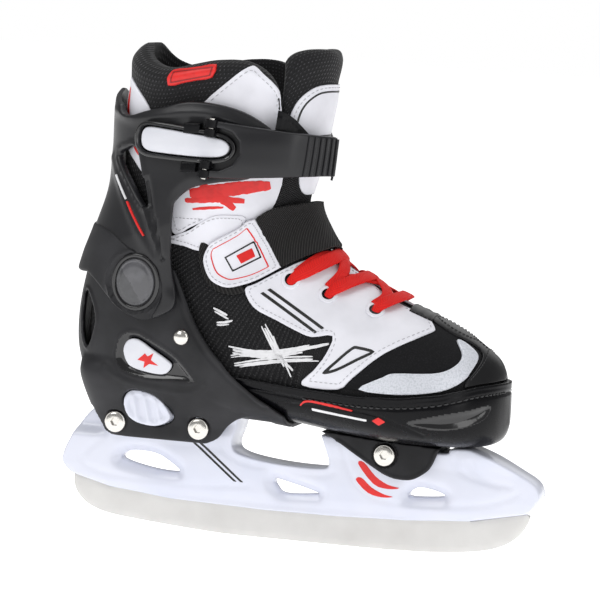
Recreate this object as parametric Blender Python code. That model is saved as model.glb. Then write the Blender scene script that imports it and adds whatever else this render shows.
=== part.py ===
"""Size-adjustable child's ice skate, right foot, as an assembly of separate parts.

Frame: metres, +X towards the toe, +Y towards the inner side of the foot, +Z up.
Origin: middle of the flat part of the blade's running edge, on the ice.
Every named size is in millimetres, and every outline is a side elevation (x, z).
"""

import math

import bmesh
import bpy
from mathutils import Matrix, Vector

MM = 0.001

# ---------------------------------------------------------------- driving dimensions
GAP = 0.35              # between parts that touch
SOFT_WALL = 3.6         # padded upper
OVERLAY = (0.75, 1.9)    # leather sewn on the upper: inner and outer face, from the upper's surface
SHELL = (3.7, 6.5)      # heel shell
CUFF_WALL = 2.9
CUFF_LOW, CUFF_HIGH = 7.9, 4.3      # cuff's inner face, at the ankle and round the collar

BLADE_HALF = 1.5
SLOT_DEPTH = 7.0
BRACKET_IN, BRACKET_OUT = 13.0, 16.0
SKIRT_WALL = 3.0
BOLT_HEAD_R, BOLT_HEAD_T, BOLT_R, BARREL_R, HEX_R = 6.0, 2.4, 3.0, 5.0, 2.3
HEEL_BOLTS = ((-104.0, 59.6), (-56.0, 59.6))
HEEL_BOLT_FACE = 19.6
TOE_BOLT = (49.0, 54.0)

PIVOT = (-90.0, 139.5)
PIVOT_R = 4.0
CAP_R = (10.8, 12.8)
EAR_R = 16.0

PIN_LOW, PIN_HIGH = Vector((-52.8, -48.6, 198.6)), Vector((-49.4, -48.6, 231.6))
PIN_R, KNUCKLE_R = 1.5, 3.3
RELEASE_AXIS = Vector((-44.0, -46.6, 217.0))

BUTTON_AT = (-85.0, 69.5)

# ---------------------------------------------------------------- foot form
# Sections from the toe tip, back along the foot and up the shaft. Each joins a point on the front line
# (toe, instep, shin) to a point on the back line (sole, heel, calf).
# (front x, front z, back x, back z, half width, centre y, widest at, front roundness, back roundness)
STATIONS = (
    (108.5, 96.0, 109.3, 76.0, 0.7, 4.0, 0.55, 2.2, 2.2),
    (107.3, 102.0, 107.6, 70.5, 8.5, 4.0, 0.60, 2.2, 2.4),
    (104.0, 108.0, 104.8, 67.2, 16.5, 3.9, 0.64, 2.1, 2.7),
    (98.5, 112.5, 99.0, 65.5, 24.5, 3.6, 0.67, 2.0, 3.0),
    (89.0, 119.0, 90.0, 64.8, 32.0, 3.0, 0.69, 2.0, 3.2),
    (77.0, 125.5, 78.0, 64.6, 37.3, 2.2, 0.70, 2.0, 3.3),
    (62.0, 131.5, 62.0, 64.9, 40.0, 1.2, 0.70, 2.0, 3.3),
    (45.0, 138.5, 43.0, 66.0, 40.0, 0.5, 0.69, 1.95, 3.3),
    (28.0, 146.5, 22.0, 67.8, 37.5, 0.0, 0.66, 1.9, 3.2),
    (15.0, 154.0, -2.0, 70.0, 35.0, 0.0, 0.62, 1.9, 3.1),
    (6.5, 162.5, -28.0, 72.0, 33.3, 0.0, 0.60, 1.95, 3.0),
    (0.0, 172.5, -58.0, 73.0, 32.0, 0.0, 0.58, 2.0, 2.9),
    (-4.0, 180.5, -90.0, 73.6, 31.2, 0.0, 0.56, 2.05, 2.8),
    (-5.6, 187.0, -115.0, 79.5, 30.8, 0.0, 0.54, 2.1, 2.6),
    (-5.2, 192.0, -124.5, 95.0, 31.0, 0.0, 0.53, 2.15, 2.45),
    (-3.8, 197.0, -126.5, 115.0, 31.8, 0.0, 0.53, 2.2, 2.35),
    (-2.2, 203.0, -123.5, 138.0, 33.0, 0.0, 0.53, 2.2, 2.3),
    (-0.6, 210.0, -116.5, 163.0, 34.0, 0.0, 0.52, 2.2, 2.3),
    (1.0, 219.0, -111.0, 187.0, 34.6, 0.0, 0.51, 2.2, 2.3),
    (3.0, 231.0, -111.0, 212.0, 35.4, 0.0, 0.50, 2.2, 2.3),
    (4.8, 243.0, -111.0, 234.0, 36.0, 0.0, 0.50, 2.2, 2.3),
    (5.0, 253.0, -108.5, 250.0, 36.0, 0.0, 0.50, 2.2, 2.3),
    (3.5, 261.0, -104.0, 264.0, 35.0, 0.0, 0.50, 2.2, 2.3),
    (1.5, 266.0, -100.0, 279.0, 33.5, 0.0, 0.50, 2.2, 2.3),
)
THROAT, GUSSET, HEEL, COLLAR, RIM, TONGUE_TOP = 9.0, 11.4, 14.3, 18.0, 22.0, 23.0
PADDING_START = 1.5     # the padding closes inside the toe tip
FORM_ROWS = [k / 2 for k in range(7)] + list(range(4, 12)) + [k / 2 for k in range(23, 33)] + list(range(17, 24))
TURN = 24               # facets round a section


def clamp(value, low, high):
    return max(low, min(high, value))


def ramp(value, start, end, low, high):
    """low before start, high after end, and a straight ramp between."""
    return low + (high - low) * clamp((value - start) / (end - start), 0.0, 1.0)


def spline(rows, u):
    """Catmull-Rom through rows of equal length, at index u."""
    i = int(clamp(math.floor(u), 0, len(rows) - 2))
    f = u - i
    p = [rows[int(clamp(i + k, 0, len(rows) - 1))] for k in (-1, 0, 1, 2)]
    return [
        0.5 * (2 * b + (c - a) * f + (2 * a - 5 * b + 4 * c - d) * f * f + (3 * b - a - 3 * c + d) * f ** 3)
        for a, b, c, d in zip(*p)
    ]


def form_skin(s, t):
    """The upper's surface. t is 0 at the shin, 0.25 near the middle of the outer side and 0.5 at the back."""
    fx, fz, bx, bz, half, mid, widest, round_f, round_b = spline(STATIONS, s)
    angle = 2 * math.pi * t
    c, w = math.cos(angle), math.sin(angle)
    if c >= 0:
        along = widest * (1 - c ** (2 / round_f))
        wide = abs(w) ** (2 / round_f)
    else:
        along = widest + (1 - widest) * (-c) ** (2 / round_b)
        wide = abs(w) ** (2 / round_b)
    side = -1 if w >= 0 else 1
    return Vector((fx + (bx - fx) * along, mid + side * half * wide, fz + (bz - fz) * along))


def form_normal(s, t):
    across = form_skin(s, t + 0.004) - form_skin(s, t - 0.004)
    along = form_skin(min(s + 0.03, TONGUE_TOP), t) - form_skin(max(s - 0.03, 0.0), t)
    return along.cross(across).normalized()


def form_point(s, t, off):
    """A point off millimetres outside the upper's surface."""
    return form_skin(s, t) + form_normal(s, t) * off


def cuff_in(s):
    return ramp(s, 16.5, 19.0, CUFF_LOW, CUFF_HIGH)


def cuff_out(s):
    return cuff_in(s) + CUFF_WALL


def over_cuff(extra):
    return lambda s: cuff_out(s) + extra


def cup_in(s):
    return ramp(s, 8.0, 8.9, 0.7, 1.3)


def cup_out(s):
    return ramp(s, 8.0, 8.9, 3.9, 3.3)


# ---------------------------------------------------------------- objects
def new_object(name, bm):
    bmesh.ops.recalc_face_normals(bm, faces=bm.faces)
    mesh = bpy.data.meshes.new(name)
    bm.to_mesh(mesh)
    bm.free()
    mesh.transform(Matrix.Scale(MM, 4))
    obj = bpy.data.objects.new(name, mesh)
    bpy.context.scene.collection.objects.link(obj)
    return obj


def part(obj, colour, roughness, metallic=0.0):
    """Give a part its own material, and smooth shading where it is round."""
    made = bpy.data.materials.new(obj.name)
    made.use_nodes = True
    shader = made.node_tree.nodes["Principled BSDF"]
    shader.inputs["Base Color"].default_value = (*colour, 1.0)
    shader.inputs["Roughness"].default_value = roughness
    shader.inputs["Metallic"].default_value = metallic
    obj.data.materials.append(made)
    obj.data.shade_smooth()
    obj.data.set_sharp_from_angle(angle=math.radians(35))
    return obj


def boolean(obj, other, operation="DIFFERENCE"):
    other.hide_render = True
    other.display_type = "WIRE"
    modifier = obj.modifiers.new(other.name, "BOOLEAN")
    modifier.operation = operation
    modifier.solver = "EXACT"
    modifier.object = other
    return obj


def joint(name, position, parent=None):
    """An empty on a joint, for the parts that move with it."""
    empty = bpy.data.objects.new(name, None)
    bpy.context.scene.collection.objects.link(empty)
    empty.location = Vector(position) * MM
    if parent:
        empty.parent = parent
        empty.location -= parent.location
    return empty


def attach(empty, world, names):
    for name in names:
        obj = bpy.data.objects[name]
        obj.parent = empty
        obj.matrix_parent_inverse = Matrix.Translation(-Vector(world) * MM)


# ---------------------------------------------------------------- shapes
def extruded(name, outline, start, end, axes=(0, 2, 1)):
    """A flat outline carried from start to end. axes says where its two coordinates and its depth go."""
    bm = bmesh.new()
    verts = []
    for a, b in outline:
        place = [0.0, 0.0, 0.0]
        place[axes[0]], place[axes[1]], place[axes[2]] = a, b, start
        verts.append(bm.verts.new(place))
    face = bm.faces.new(verts)
    grown = bmesh.ops.extrude_face_region(bm, geom=[face])["geom"]
    shift = [0.0, 0.0, 0.0]
    shift[axes[2]] = end - start
    bmesh.ops.translate(bm, vec=shift, verts=[v for v in grown if isinstance(v, bmesh.types.BMVert)])
    return new_object(name, bm)


def turned(name, profile, place, steps):
    """A profile of (radius, height) spun about its local Z, then put at a matrix."""
    bm = bmesh.new()
    verts = [bm.verts.new((r, 0.0, h)) for r, h in profile]
    edges = [bm.edges.new(pair) for pair in zip(verts, verts[1:])]
    if profile[0][0] > 0:
        edges.append(bm.edges.new((verts[-1], verts[0])))
    bmesh.ops.spin(bm, geom=verts + edges, axis=(0, 0, 1), cent=(0, 0, 0), angle=2 * math.pi, steps=steps,
                   use_merge=True)
    bmesh.ops.remove_doubles(bm, verts=bm.verts, dist=0.001)
    obj = new_object(name, bm)
    obj.matrix_world = place
    return obj


def facing(position, direction):
    """Local Z along direction, at a position in millimetres."""
    turn = Vector(direction).to_track_quat("Z", "Y").to_matrix().to_4x4()
    return Matrix.Translation(Vector(position) * MM) @ turn


def rod(name, start, end, radius, steps=12):
    length = (end - start).length
    profile = ((0, 0), (radius, 0), (radius, length), (0, length))
    return turned(name, profile, facing(start, end - start), steps)


def cross_rod(name, x, z, low, high, radius, steps=14):
    return rod(name, Vector((x, low, z)), Vector((x, high, z)), radius, steps)


def arc(centre, radius, start, end, count):
    """count + 1 points along an arc, in degrees."""
    angles = [math.radians(start + (end - start) * i / count) for i in range(count + 1)]
    return [(centre[0] + radius[0] * math.cos(a), centre[1] + radius[1] * math.sin(a)) for a in angles]


def oval(centre, radius, count):
    return arc(centre, radius, 0, 360 - 360 / count, count - 1)


def smooth_loop(outline, steps=3):
    """A closed outline rounded through its points."""
    n = len(outline)
    out = []
    for i in range(n):
        rows = [outline[(i + k) % n] for k in (-1, 0, 1, 2)]
        out += [tuple(spline(rows, 1 + j / steps)) for j in range(steps)]
    return out


def grown(outline, by):
    """An outline moved outwards, corner by corner."""
    n = len(outline)
    area = sum(a[0] * b[1] - b[0] * a[1] for a, b in zip(outline, outline[1:] + outline[:1]))
    turn = math.copysign(by, area)
    out = []
    for i in range(n):
        along = (Vector(outline[(i + 1) % n]) - Vector(outline[i - 1])).normalized()
        out.append((outline[i][0] + turn * along.y, outline[i][1] - turn * along.x))
    return out


def grid_between(values, low, high):
    return [low] + [v for v in values if low + 1e-3 < v < high - 1e-3] + [high]


def bridge(bm, rows, closed):
    for a, b in zip(rows, rows[1:]):
        n = len(a)
        for j in range(n if closed else n - 1):
            bm.faces.new((a[j], a[(j + 1) % n], b[(j + 1) % n], b[j]))


def form_wall(name, s_range, t_range, inner, outer, bow=0.0):
    """A wall on the form between two standoffs. A whole turn of t makes a tube, and one from the toe tip a pocket.

    bow shifts the middle of a strip that crosses the front towards the toe.
    """
    s_low, s_high = s_range
    t_low, t_high = t_range
    whole = t_high - t_low > 0.999
    t_values = grid_between([k / TURN for k in range(-TURN, 2 * TURN)], t_low, t_high)
    if whole:
        t_values.pop()
    pocket = whole and s_low == 0
    bm = bmesh.new()
    layers = []
    for off in (outer, inner):
        first = PADDING_START if pocket and off == -SOFT_WALL else s_low
        rows = []
        for s in grid_between(FORM_ROWS, first, s_high):
            height = off(s) if callable(off) else off
            bowed = [(s - bow * math.cos(0.5 * math.pi * t / t_high), t) for t in t_values]
            rows.append([bm.verts.new(form_point(*st, height)) for st in bowed])
        layers.append(rows)
        bridge(bm, rows, whole)
    out, inn = layers
    bridge(bm, [out[-1], inn[-1]], whole)
    if pocket:
        bm.faces.new(out[0])
        bm.faces.new(inn[0])
    else:
        bridge(bm, [out[0], inn[0]], whole)
    if not whole:
        for j in (0, -1):
            bridge(bm, [[row[j] for row in out], [row[j] for row in inn]], False)
    return new_object(name, bm)


def form_solid(name, s_range, off):
    """The whole inside of the form, out to a standoff."""
    bm = bmesh.new()
    rows = [
        [bm.verts.new(form_point(s, k / TURN, off)) for k in range(TURN)] for s in grid_between(FORM_ROWS, *s_range)
    ]
    bridge(bm, rows, True)
    bm.faces.new(rows[0])
    bm.faces.new(rows[-1])
    return new_object(name, bm)


def trimmed(obj, outline, side=0):
    """Keep what lies inside a side elevation, on one side of the foot or on both."""
    low, high = {0: (-70, 70), -1: (-70, -0.2), 1: (0.2, 70)}[side]
    return boolean(obj, extruded(f"trim_{obj.name}", outline, low, high), "INTERSECT")


# ---------------------------------------------------------------- blade and holder
BLADE_TOP = ((-132.5, 26.5), (-110.0, 20.3), (-75.0, 16.6), (-20.0, 15.2), (20.0, 15.6), (60.0, 17.0),
             (95.0, 19.8), (127.0, 26.8))
BLADE_RUN = ((128.6, 25.5), (126.5, 20.0), (122.5, 14.2), (116.0, 9.2), (105.0, 5.0), (85.0, 1.9), (60.0, 0.5),
             (35.0, 0.0), (-35.0, 0.0), (-60.0, 1.0), (-90.0, 3.2), (-112.0, 5.6), (-124.0, 9.8), (-130.5, 16.0),
             (-132.6, 21.5))
HOLDER_TOP = ((-135.0, 29.0), (-138.0, 33.5), (-137.0, 39.5), (-129.0, 55.5), (-119.0, 66.0), (-36.0, 66.0),
              (-37.0, 60.0), (-39.3, 52.0), (-37.0, 47.5), (-28.0, 44.8), (-12.0, 42.9), (4.0, 42.3), (14.0, 42.9),
              (16.2, 45.5), (14.5, 53.0), (11.5, 61.5), (43.0, 59.0), (80.0, 57.2), (90.0, 59.6), (96.0, 59.6),
              (131.0, 44.5), (134.3, 38.0), (132.5, 33.0), (128.5, 28.0))
HOLDER_HALF = ((4.6, 12.0), (4.6, 19.0), (7.0, 25.0), (8.5, 33.0), (10.0, 48.0), (12.6, 56.0), (12.6, 62.8),
               (15.8, 66.5))
WINDOWS = (
    ((-104.0, 37.0), (-99.5, 42.0), (-86.0, 42.0), (-77.5, 38.5), (-70.5, 32.6), (-86.0, 32.8)),
    ((-16.0, 33.0), (-12.0, 33.6), (9.0, 28.3), (6.0, 27.0), (-9.5, 26.0), (-14.5, 29.5)),
    ((60.8, 31.0), (65.0, 36.0), (73.0, 35.9), (81.3, 33.3), (76.0, 31.6)),
)


def tang_top(clear):
    """Top of the tang, or of the slot that clears it."""
    tang = BLADE_TOP[1:-1]
    top = [(x, z + SLOT_DEPTH + clear) for x, z in tang]
    top[0] = (tang[0][0] - clear, top[0][1])
    top[-1] = (tang[-1][0] + clear, top[-1][1])
    return top


def make_blade():
    """Steel runner. Its upper edge stands in the holder's slot."""
    outline = [*BLADE_TOP[:2], *tang_top(0.0), *BLADE_TOP[-2:], *BLADE_RUN]
    part(extruded("blade", outline, -BLADE_HALF, BLADE_HALF), (0.78, 0.76, 0.73), 0.28, 1.0)


def make_holder():
    """A heel pillar and a toe pillar on one beam, pierced by windows."""
    under = [(x, z + 0.5) for x, z in BLADE_TOP]
    holder = extruded("blade_holder", [*HOLDER_TOP, *under[::-1]], -25, 25)
    section = [(-y, z) for y, z in HOLDER_HALF] + [(y, z) for y, z in HOLDER_HALF[::-1]]
    boolean(holder, extruded("trim_holder_section", section, -145, 140, axes=(1, 2, 0)), "INTERSECT")
    for k, window in enumerate(WINDOWS):
        boolean(holder, extruded(f"cut_window_{k}", smooth_loop(window, 2), -30, 30))
    slot = [(BLADE_TOP[1][0] - GAP, 10.0), *tang_top(GAP), (BLADE_TOP[-2][0] + GAP, 10.0)]
    boolean(holder, extruded("cut_blade_slot", slot, -BLADE_HALF - GAP, BLADE_HALF + GAP))
    for k, (x, z) in enumerate((*HEEL_BOLTS, TOE_BOLT)):
        boolean(holder, cross_rod(f"cut_holder_bolt_{k}", x, z, -30, 30, BARREL_R + GAP))
    part(holder, (0.83, 0.85, 0.92), 0.3)


def make_bolt(name, x, z, face):
    """A bolt from the outer side screwed into a barrel nut from the inner side."""
    head = [(0, 0), (BOLT_HEAD_R - 0.8, 0), (BOLT_HEAD_R, -0.8), (BOLT_HEAD_R, GAP - BOLT_HEAD_T)]
    depth = -(face + BOLT_HEAD_T)
    bolt = [*head, (BOLT_R, GAP - BOLT_HEAD_T), (BOLT_R, depth + 11), (0, depth + 11)]
    bore = BOLT_R + GAP
    nut = [*head, (BARREL_R, GAP - BOLT_HEAD_T), (BARREL_R, depth - 10.5), (bore, depth - 10.5),
           (bore, depth + 11.5), (0, depth + 11.5)]
    for kind, side, profile in (("bolt", -1, bolt), ("nut", 1, nut)):
        top = Vector((x, side * (face + BOLT_HEAD_T), z))
        out = Vector((0, side, 0))
        made = turned(f"{name}_{kind}", profile, facing(top, out), 14)
        boolean(made, rod(f"cut_{name}_{kind}_hex", top - out * 1.9, top + out, HEX_R, 6))
        part(made, (0.8, 0.78, 0.74), 0.22, 1.0)


# ---------------------------------------------------------------- heel shell
SKIRT_LEVELS = ((51.4, -114.5, 18.8), (53.5, -117.3, 19.4), (60.0, -120.3, 20.0), (66.0, -121.7, 22.5),
                (72.0, -123.7, 26.8), (78.0, -125.4, 31.0), (84.0, -127.6, 34.4), (86.5, -128.4, 35.2))
SKIRT_FRONT = ((-25.0, 96.0), (-18.0, 71.0), (-30.0, 68.4), (-35.0, 66.0), (-40.0, 61.8), (-44.0, 56.4),
               (-47.0, 53.8), (-52.0, 51.4), (-52.0, 40.0))
SHELL_FRONT = ((-4.0, 40.0), (-5.0, 71.8), (-15.9, 79.3), (-33.0, 92.2), (-45.0, 103.6), (-53.6, 115.0),
               (-59.3, 125.0), (-65.0, 137.6), (-69.5, 147.5))
BUTTON = ((-97.8, 71.0), (-96.5, 76.3), (-92.0, 78.7), (-83.0, 77.5), (-76.5, 74.0), (-71.0, 67.0), (-72.0, 63.0),
          (-79.0, 59.8), (-89.0, 60.8), (-95.0, 64.4))
BADGE = ((-97.3, 101.0), (-94.5, 106.8), (-88.5, 107.6), (-80.0, 102.8), (-70.0, 96.8), (-69.0, 93.5),
         (-73.5, 89.4), (-85.0, 90.1), (-94.0, 93.0))
BADGE_SPAN = {-1: (0.1, 0.42), 1: (0.58, 0.9)}
DOME = (-63.6, 111.0)


def skirt_ring(z, x_back, half, inset):
    """Plan of the skirt that runs from the heel down round the holder: straight sides and a round back."""
    reach = 30.0 - inset
    x_round = x_back + 30.0
    half -= inset
    points = [(-16.0, -half)]
    points += [
        (x_round - reach * abs(math.sin(a)) ** 0.8, -half * math.copysign(abs(math.cos(a)) ** 0.8, math.cos(a)))
        for a in [math.pi * k / 10 for k in range(11)]
    ]
    points.append((-16.0, half))
    return [(x, y, z) for x, y in points]


def make_skirt():
    bm = bmesh.new()
    layers = []
    for inset in (0.0, SKIRT_WALL):
        layers.append([[bm.verts.new(p) for p in skirt_ring(*level, inset)] for level in SKIRT_LEVELS])
        bridge(bm, layers[-1], False)
    out, inn = layers
    for i in (0, -1):
        bridge(bm, [out[i], inn[i]], False)
        bridge(bm, [[row[i] for row in out], [row[i] for row in inn]], False)
    skirt = new_object("add_skirt", bm)
    return boolean(skirt, extruded("trim_skirt", [*SKIRT_FRONT, (-150, 40), (-150, 96)], -60, 60), "INTERSECT")


def make_heel_shell():
    shell = form_wall("heel_shell", (THROAT, 18.0), (0.0, 1.0), *SHELL)
    ear = arc(PIVOT, (EAR_R, EAR_R), 30, 150, 6)
    trimmed(shell, [*SHELL_FRONT, *ear, (-112.0, 143.0), (-150.0, 143.0), (-150.0, 40.0)])
    boolean(shell, make_skirt(), "UNION")
    boolean(shell, form_solid("cut_shell_inside", (8.0, 18.6), SHELL[0] - 0.1))
    pillar = [(-150.0, 40.0), (-150.0, 66.8), (-10.0, 66.8), (-10.0, 40.0)]
    inside = HEEL_BOLT_FACE - SKIRT_WALL
    boolean(shell, extruded("cut_holder_room", pillar, -inside, inside))
    for k, (x, z) in enumerate(HEEL_BOLTS):
        boolean(shell, cross_rod(f"cut_shell_bolt_{k}", x, z, -30, 30, BARREL_R + GAP))
        for side in (-1, 1):
            seat = sorted((side * HEEL_BOLT_FACE, side * 40))
            boolean(shell, cross_rod(f"cut_bolt_seat_{k}_{side}", x, z, *seat, BOLT_HEAD_R + 0.5))
    boolean(shell, extruded("cut_button_window", grown(BUTTON, 0.5), -60, -2.8))
    for side in (-1, 1):
        span = sorted((side * 10, side * 60))
        boolean(shell, cross_rod(f"cut_shell_pivot_{side}", *PIVOT, *span, PIVOT_R + GAP))
        recess = form_wall(f"cut_badge_{side}", (11.3, 16.8), BADGE_SPAN[side], SHELL[1] - 1.2, SHELL[1] + 4)
        boolean(shell, trimmed(recess, grown(BADGE, 0.5)))
        boolean(shell, cross_rod(f"cut_dome_{side}", *DOME, *sorted((side * 10, side * 60)), 2.0 + GAP))
    part(shell, (0.03, 0.03, 0.032), 0.6)


def make_badges():
    """Inserts that sit in a recess on each side of the heel."""
    for side, label in ((-1, "outer"), (1, "inner")):
        badge = form_wall(f"heel_badge_{label}", (11.6, 16.5), BADGE_SPAN[side], SHELL[1] - 0.8, SHELL[1] + 0.7)
        part(trimmed(badge, BADGE), (0.85, 0.86, 0.9), 0.35)


def make_size_button():
    """Push button of the size lock, with its stem and return spring."""
    button = extruded("size_button", BUTTON, -27.0, -20.6)
    x, z = BUTTON_AT
    boolean(button, cross_rod("add_button_stem", x, z, -21.5, -5.5, 3.0, 12), "UNION")
    for k, x_rib in enumerate((-91.0, -84.5, -78.0)):
        groove = [(x_rib - 0.7, 50), (x_rib + 0.7, 50), (x_rib + 0.7, 90), (x_rib - 0.7, 90)]
        boolean(button, extruded(f"cut_button_groove_{k}", groove, -30.0, -26.4))
    part(button, (0.83, 0.85, 0.9), 0.35)


def make_pivots():
    """Cuff rivets: an oval cover outside the cuff and a pin that turns in the heel shell."""
    for side, label in ((-1, "outer"), (1, "inner")):
        span = (0.12, 0.42) if side < 0 else (0.58, 0.88)
        cap = form_wall(f"cuff_pivot_{label}", (13.0, 18.0), span, CUFF_LOW + CUFF_WALL + 0.4,
                        CUFF_LOW + CUFF_WALL + 2.2)
        trimmed(cap, oval(PIVOT, CAP_R, 18))
        wall = form_on_side(*PIVOT, side)
        pin = cross_rod(f"add_pivot_pin_{label}", *PIVOT, *sorted((side * (wall + 3.4), side * (wall + 12.0))),
                        PIVOT_R, 14)
        part(boolean(cap, pin, "UNION"), (0.14, 0.14, 0.145), 0.2)


def form_on_side(x, z, side):
    """|y| of the upper's surface, in side elevation at (x, z)."""
    choices = [(s / 10, t / 100) for s in range(60, 225) for t in range(8, 46)]
    best = min(choices, key=lambda st: (form_skin(*st).xz - Vector((x, z))).length_squared)
    return abs(form_skin(*best).y)


def make_domes():
    """Dome rivets at the front of the heel shell."""
    for side, label in ((-1, "outer"), (1, "inner")):
        wall = form_on_side(*DOME, side)
        head = wall + SHELL[1] + 0.6
        profile = ((0, 2.1), (2.6, 1.7), (4.3, 0.4), (4.3, 0.0), (2.0, 0.0), (2.0, -5.4), (0, -5.4))
        dome = turned(f"dome_rivet_{label}", profile, facing((DOME[0], side * head, DOME[1]), (0, side, 0)), 14)
        part(dome, (0.8, 0.79, 0.76), 0.15, 1.0)


# ---------------------------------------------------------------- toe half
BRACKET = ((12.0, 64.1), (24.3, 57.9), (31.3, 53.5), (44.3, 46.1), (49.3, 43.3), (56.3, 41.5), (64.3, 41.9),
           (69.3, 44.5), (72.9, 47.2), (75.7, 51.5), (79.0, 60.1), (43.0, 61.6))
CUP_TOP = ((125.0, 101.0), (111.5, 98.0), (100.0, 96.3), (82.0, 91.5), (60.0, 88.5), (35.0, 87.8), (5.0, 88.8),
           (-30.0, 91.5), (-60.0, 92.5))
CAP_EDGE = ((67.0, 140.0), (66.0, 131.5), (80.0, 124.0), (92.0, 118.0), (98.5, 113.5), (99.5, 109.0), (94.0, 99.8))
OVERLAY_EDGE = ((38.0, 91.3), (51.0, 99.0), (57.0, 101.5), (76.0, 102.5), (85.5, 105.0), (91.0, 109.0),
                (90.5, 114.0), (94.0, 113.5), (97.5, 108.5), (92.0, 99.2), (82.0, 94.6), (60.0, 90.6))
PANEL = ((72.5, 125.6), (64.8, 131.8), (55.0, 135.0), (42.0, 141.0), (24.0, 151.5), (13.0, 159.5), (0.0, 157.5),
         (-11.0, 151.8), (-25.0, 143.2), (-31.0, 139.5), (-25.0, 130.0), (0.0, 119.5), (9.0, 117.0), (20.5, 118.0), (18.0, 108.5),
         (5.0, 90.5), (26.0, 90.0), (34.0, 97.0), (50.0, 111.6), (70.0, 122.9))


def make_toe_bracket():
    """Saddle over the holder's toe pillar. The toe cup slides on its top."""
    bracket = extruded("toe_bracket", BRACKET, -BRACKET_OUT, BRACKET_OUT)
    room = [(-10.0, 30.0), (-10.0, 63.0), (10.0, 62.0), (43.0, 59.4), (80.0, 57.6), (95.0, 57.4), (95.0, 30.0)]
    boolean(bracket, extruded("cut_bracket_room", room, -BRACKET_IN, BRACKET_IN))
    boolean(bracket, cross_rod("cut_bracket_bolt", *TOE_BOLT, -25, 25, BARREL_R + GAP))
    part(bracket, (0.03, 0.03, 0.032), 0.55)


def make_toe_cup():
    """Cup for the forefoot. Its tail runs inside the heel shell."""
    cup = form_wall("toe_cup", (0.0, 10.6), (0.0, 1.0), cup_in, cup_out)
    part(trimmed(cup, [*CUP_TOP, (-60.0, 40.0), (125.0, 40.0)]), (0.03, 0.03, 0.03), 0.35)


def make_overlays():
    """Leather toe cap, lacing panels and side overlays on the front of the upper."""
    rim = [(x, z + 0.6) for x, z in CUP_TOP[:3]]
    cap = form_wall("toe_cap", (0.0, 7.0), (0.0, 1.0), *OVERLAY)
    part(trimmed(cap, [*CAP_EDGE, *rim[::-1], (125.0, 140.0)]), (0.015, 0.015, 0.015), 0.15)
    for side, label in ((-1, "outer"), (1, "inner")):
        span = (0.02, 0.4) if side < 0 else (0.6, 0.98)
        panel = form_wall(f"lacing_panel_{label}", (4.0, 12.5), span, *OVERLAY)
        part(trimmed(panel, PANEL), (0.85, 0.84, 0.88), 0.5)
        overlay = form_wall(f"toe_overlay_{label}", (1.0, 8.5), span, *OVERLAY)
        part(trimmed(overlay, OVERLAY_EDGE), (0.75, 0.75, 0.78), 0.4)


EYELETS = ((10.45, 0.143, 9.35), (8.87, 0.118, 7.9), (7.27, 0.094, 6.7))   # along, round, and where its lace peaks


def make_laces():
    """Eyelets, and one flat lace run across each pair."""
    for k, (s, t, peak) in enumerate(EYELETS):
        for side, label in ((1, "outer"), (-1, "inner")):
            profile = ((4.6, 0.0), (4.6, 0.5), (3.6, 1.0), (2.4, 0.6), (2.4, 0.0))
            seat = facing(form_point(s, side * t, OVERLAY[1] + 0.55), form_normal(s, side * t))
            part(turned(f"eyelet_{k + 1}_{label}", profile, seat, 12), (0.02, 0.02, 0.02), 0.4)
        run = form_wall(f"lace_{k + 1}", (s - 0.5, s + 0.3), (-t, t), 4.2, 5.5, bow=s - peak)
        part(run, (0.85, 0.03, 0.03), 0.75)


# ---------------------------------------------------------------- padded boot
def make_soft_boot():
    """The padded upper in zones: toe, stretch gusset, heel, flexing ankle, collar and tongue."""
    seam = 0.02
    zones = (
        ("toe_upper", (0.0, THROAT), (0.0, 1.0), 0.0),
        ("stretch_gusset", (THROAT + seam, GUSSET), (0.0, 1.0), 0.0),
        ("heel_liner", (GUSSET + seam, HEEL), (0.0, 1.0), 0.0),
        ("ankle_flex_zone", (HEEL + seam, COLLAR - seam), (0.0, 1.0), 0.0),
        ("collar", (COLLAR, RIM), (0.15, 0.85), 0.0),
        ("tongue", (COLLAR, TONGUE_TOP), (-0.144, 0.144), 0.4),
    )
    for name, s_range, t_range, outer in zones:
        zone = form_wall(name, s_range, t_range, -SOFT_WALL, outer)
        part(zone, (0.02, 0.02, 0.022), 0.9)
    for name, s_range in (("toe_footbed", (4.0, THROAT)), ("heel_footbed", (THROAT + seam, 12.9))):
        footbed = form_wall(name, s_range, (0.4, 0.6), -8.0, -SOFT_WALL - 0.6)
        part(footbed, (0.1, 0.1, 0.11), 0.95)


# ---------------------------------------------------------------- cuff and its buckle
CUFF = ((-150.0, 143.6), (-130.0, 143.6), (-119.5, 140.5), (-112.5, 135.4), (-106.4, 129.7), (-100.5, 125.0),
        (-95.0, 121.9), (-89.6, 119.8), (-84.3, 119.2), (-79.3, 120.4), (-74.3, 122.6), (-68.5, 126.0),
        (-68.0, 138.0), (-70.0, 147.6), (-71.0, 159.6), (-71.0, 181.6), (-69.3, 185.6), (-65.0, 190.0),
        (-59.3, 193.6), (-45.0, 197.0), (-30.0, 199.5), (-21.0, 206.0), (-16.0, 216.0), (-17.0, 224.0),
        (-21.6, 229.0), (-34.0, 235.6), (-49.0, 239.0), (-66.0, 239.4), (-79.0, 235.8), (-92.0, 232.5),
        (-101.0, 229.5), (-108.0, 230.5), (-111.5, 236.0), (-113.0, 243.0), (-150.0, 243.0))
CUFF_WINDOW = ((-108.5, 206.5), (-103.0, 211.0), (-96.0, 212.0), (-90.5, 196.0), (-86.5, 181.0), (-97.0, 192.0))
HOUSING = ((-96.5, 211.0), (-95.5, 223.5), (-91.0, 227.6), (-60.0, 226.3), (-40.0, 224.5), (-34.8, 220.0),
           (-34.5, 211.5), (-40.0, 207.0), (-65.0, 206.6), (-92.0, 207.4))
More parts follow.
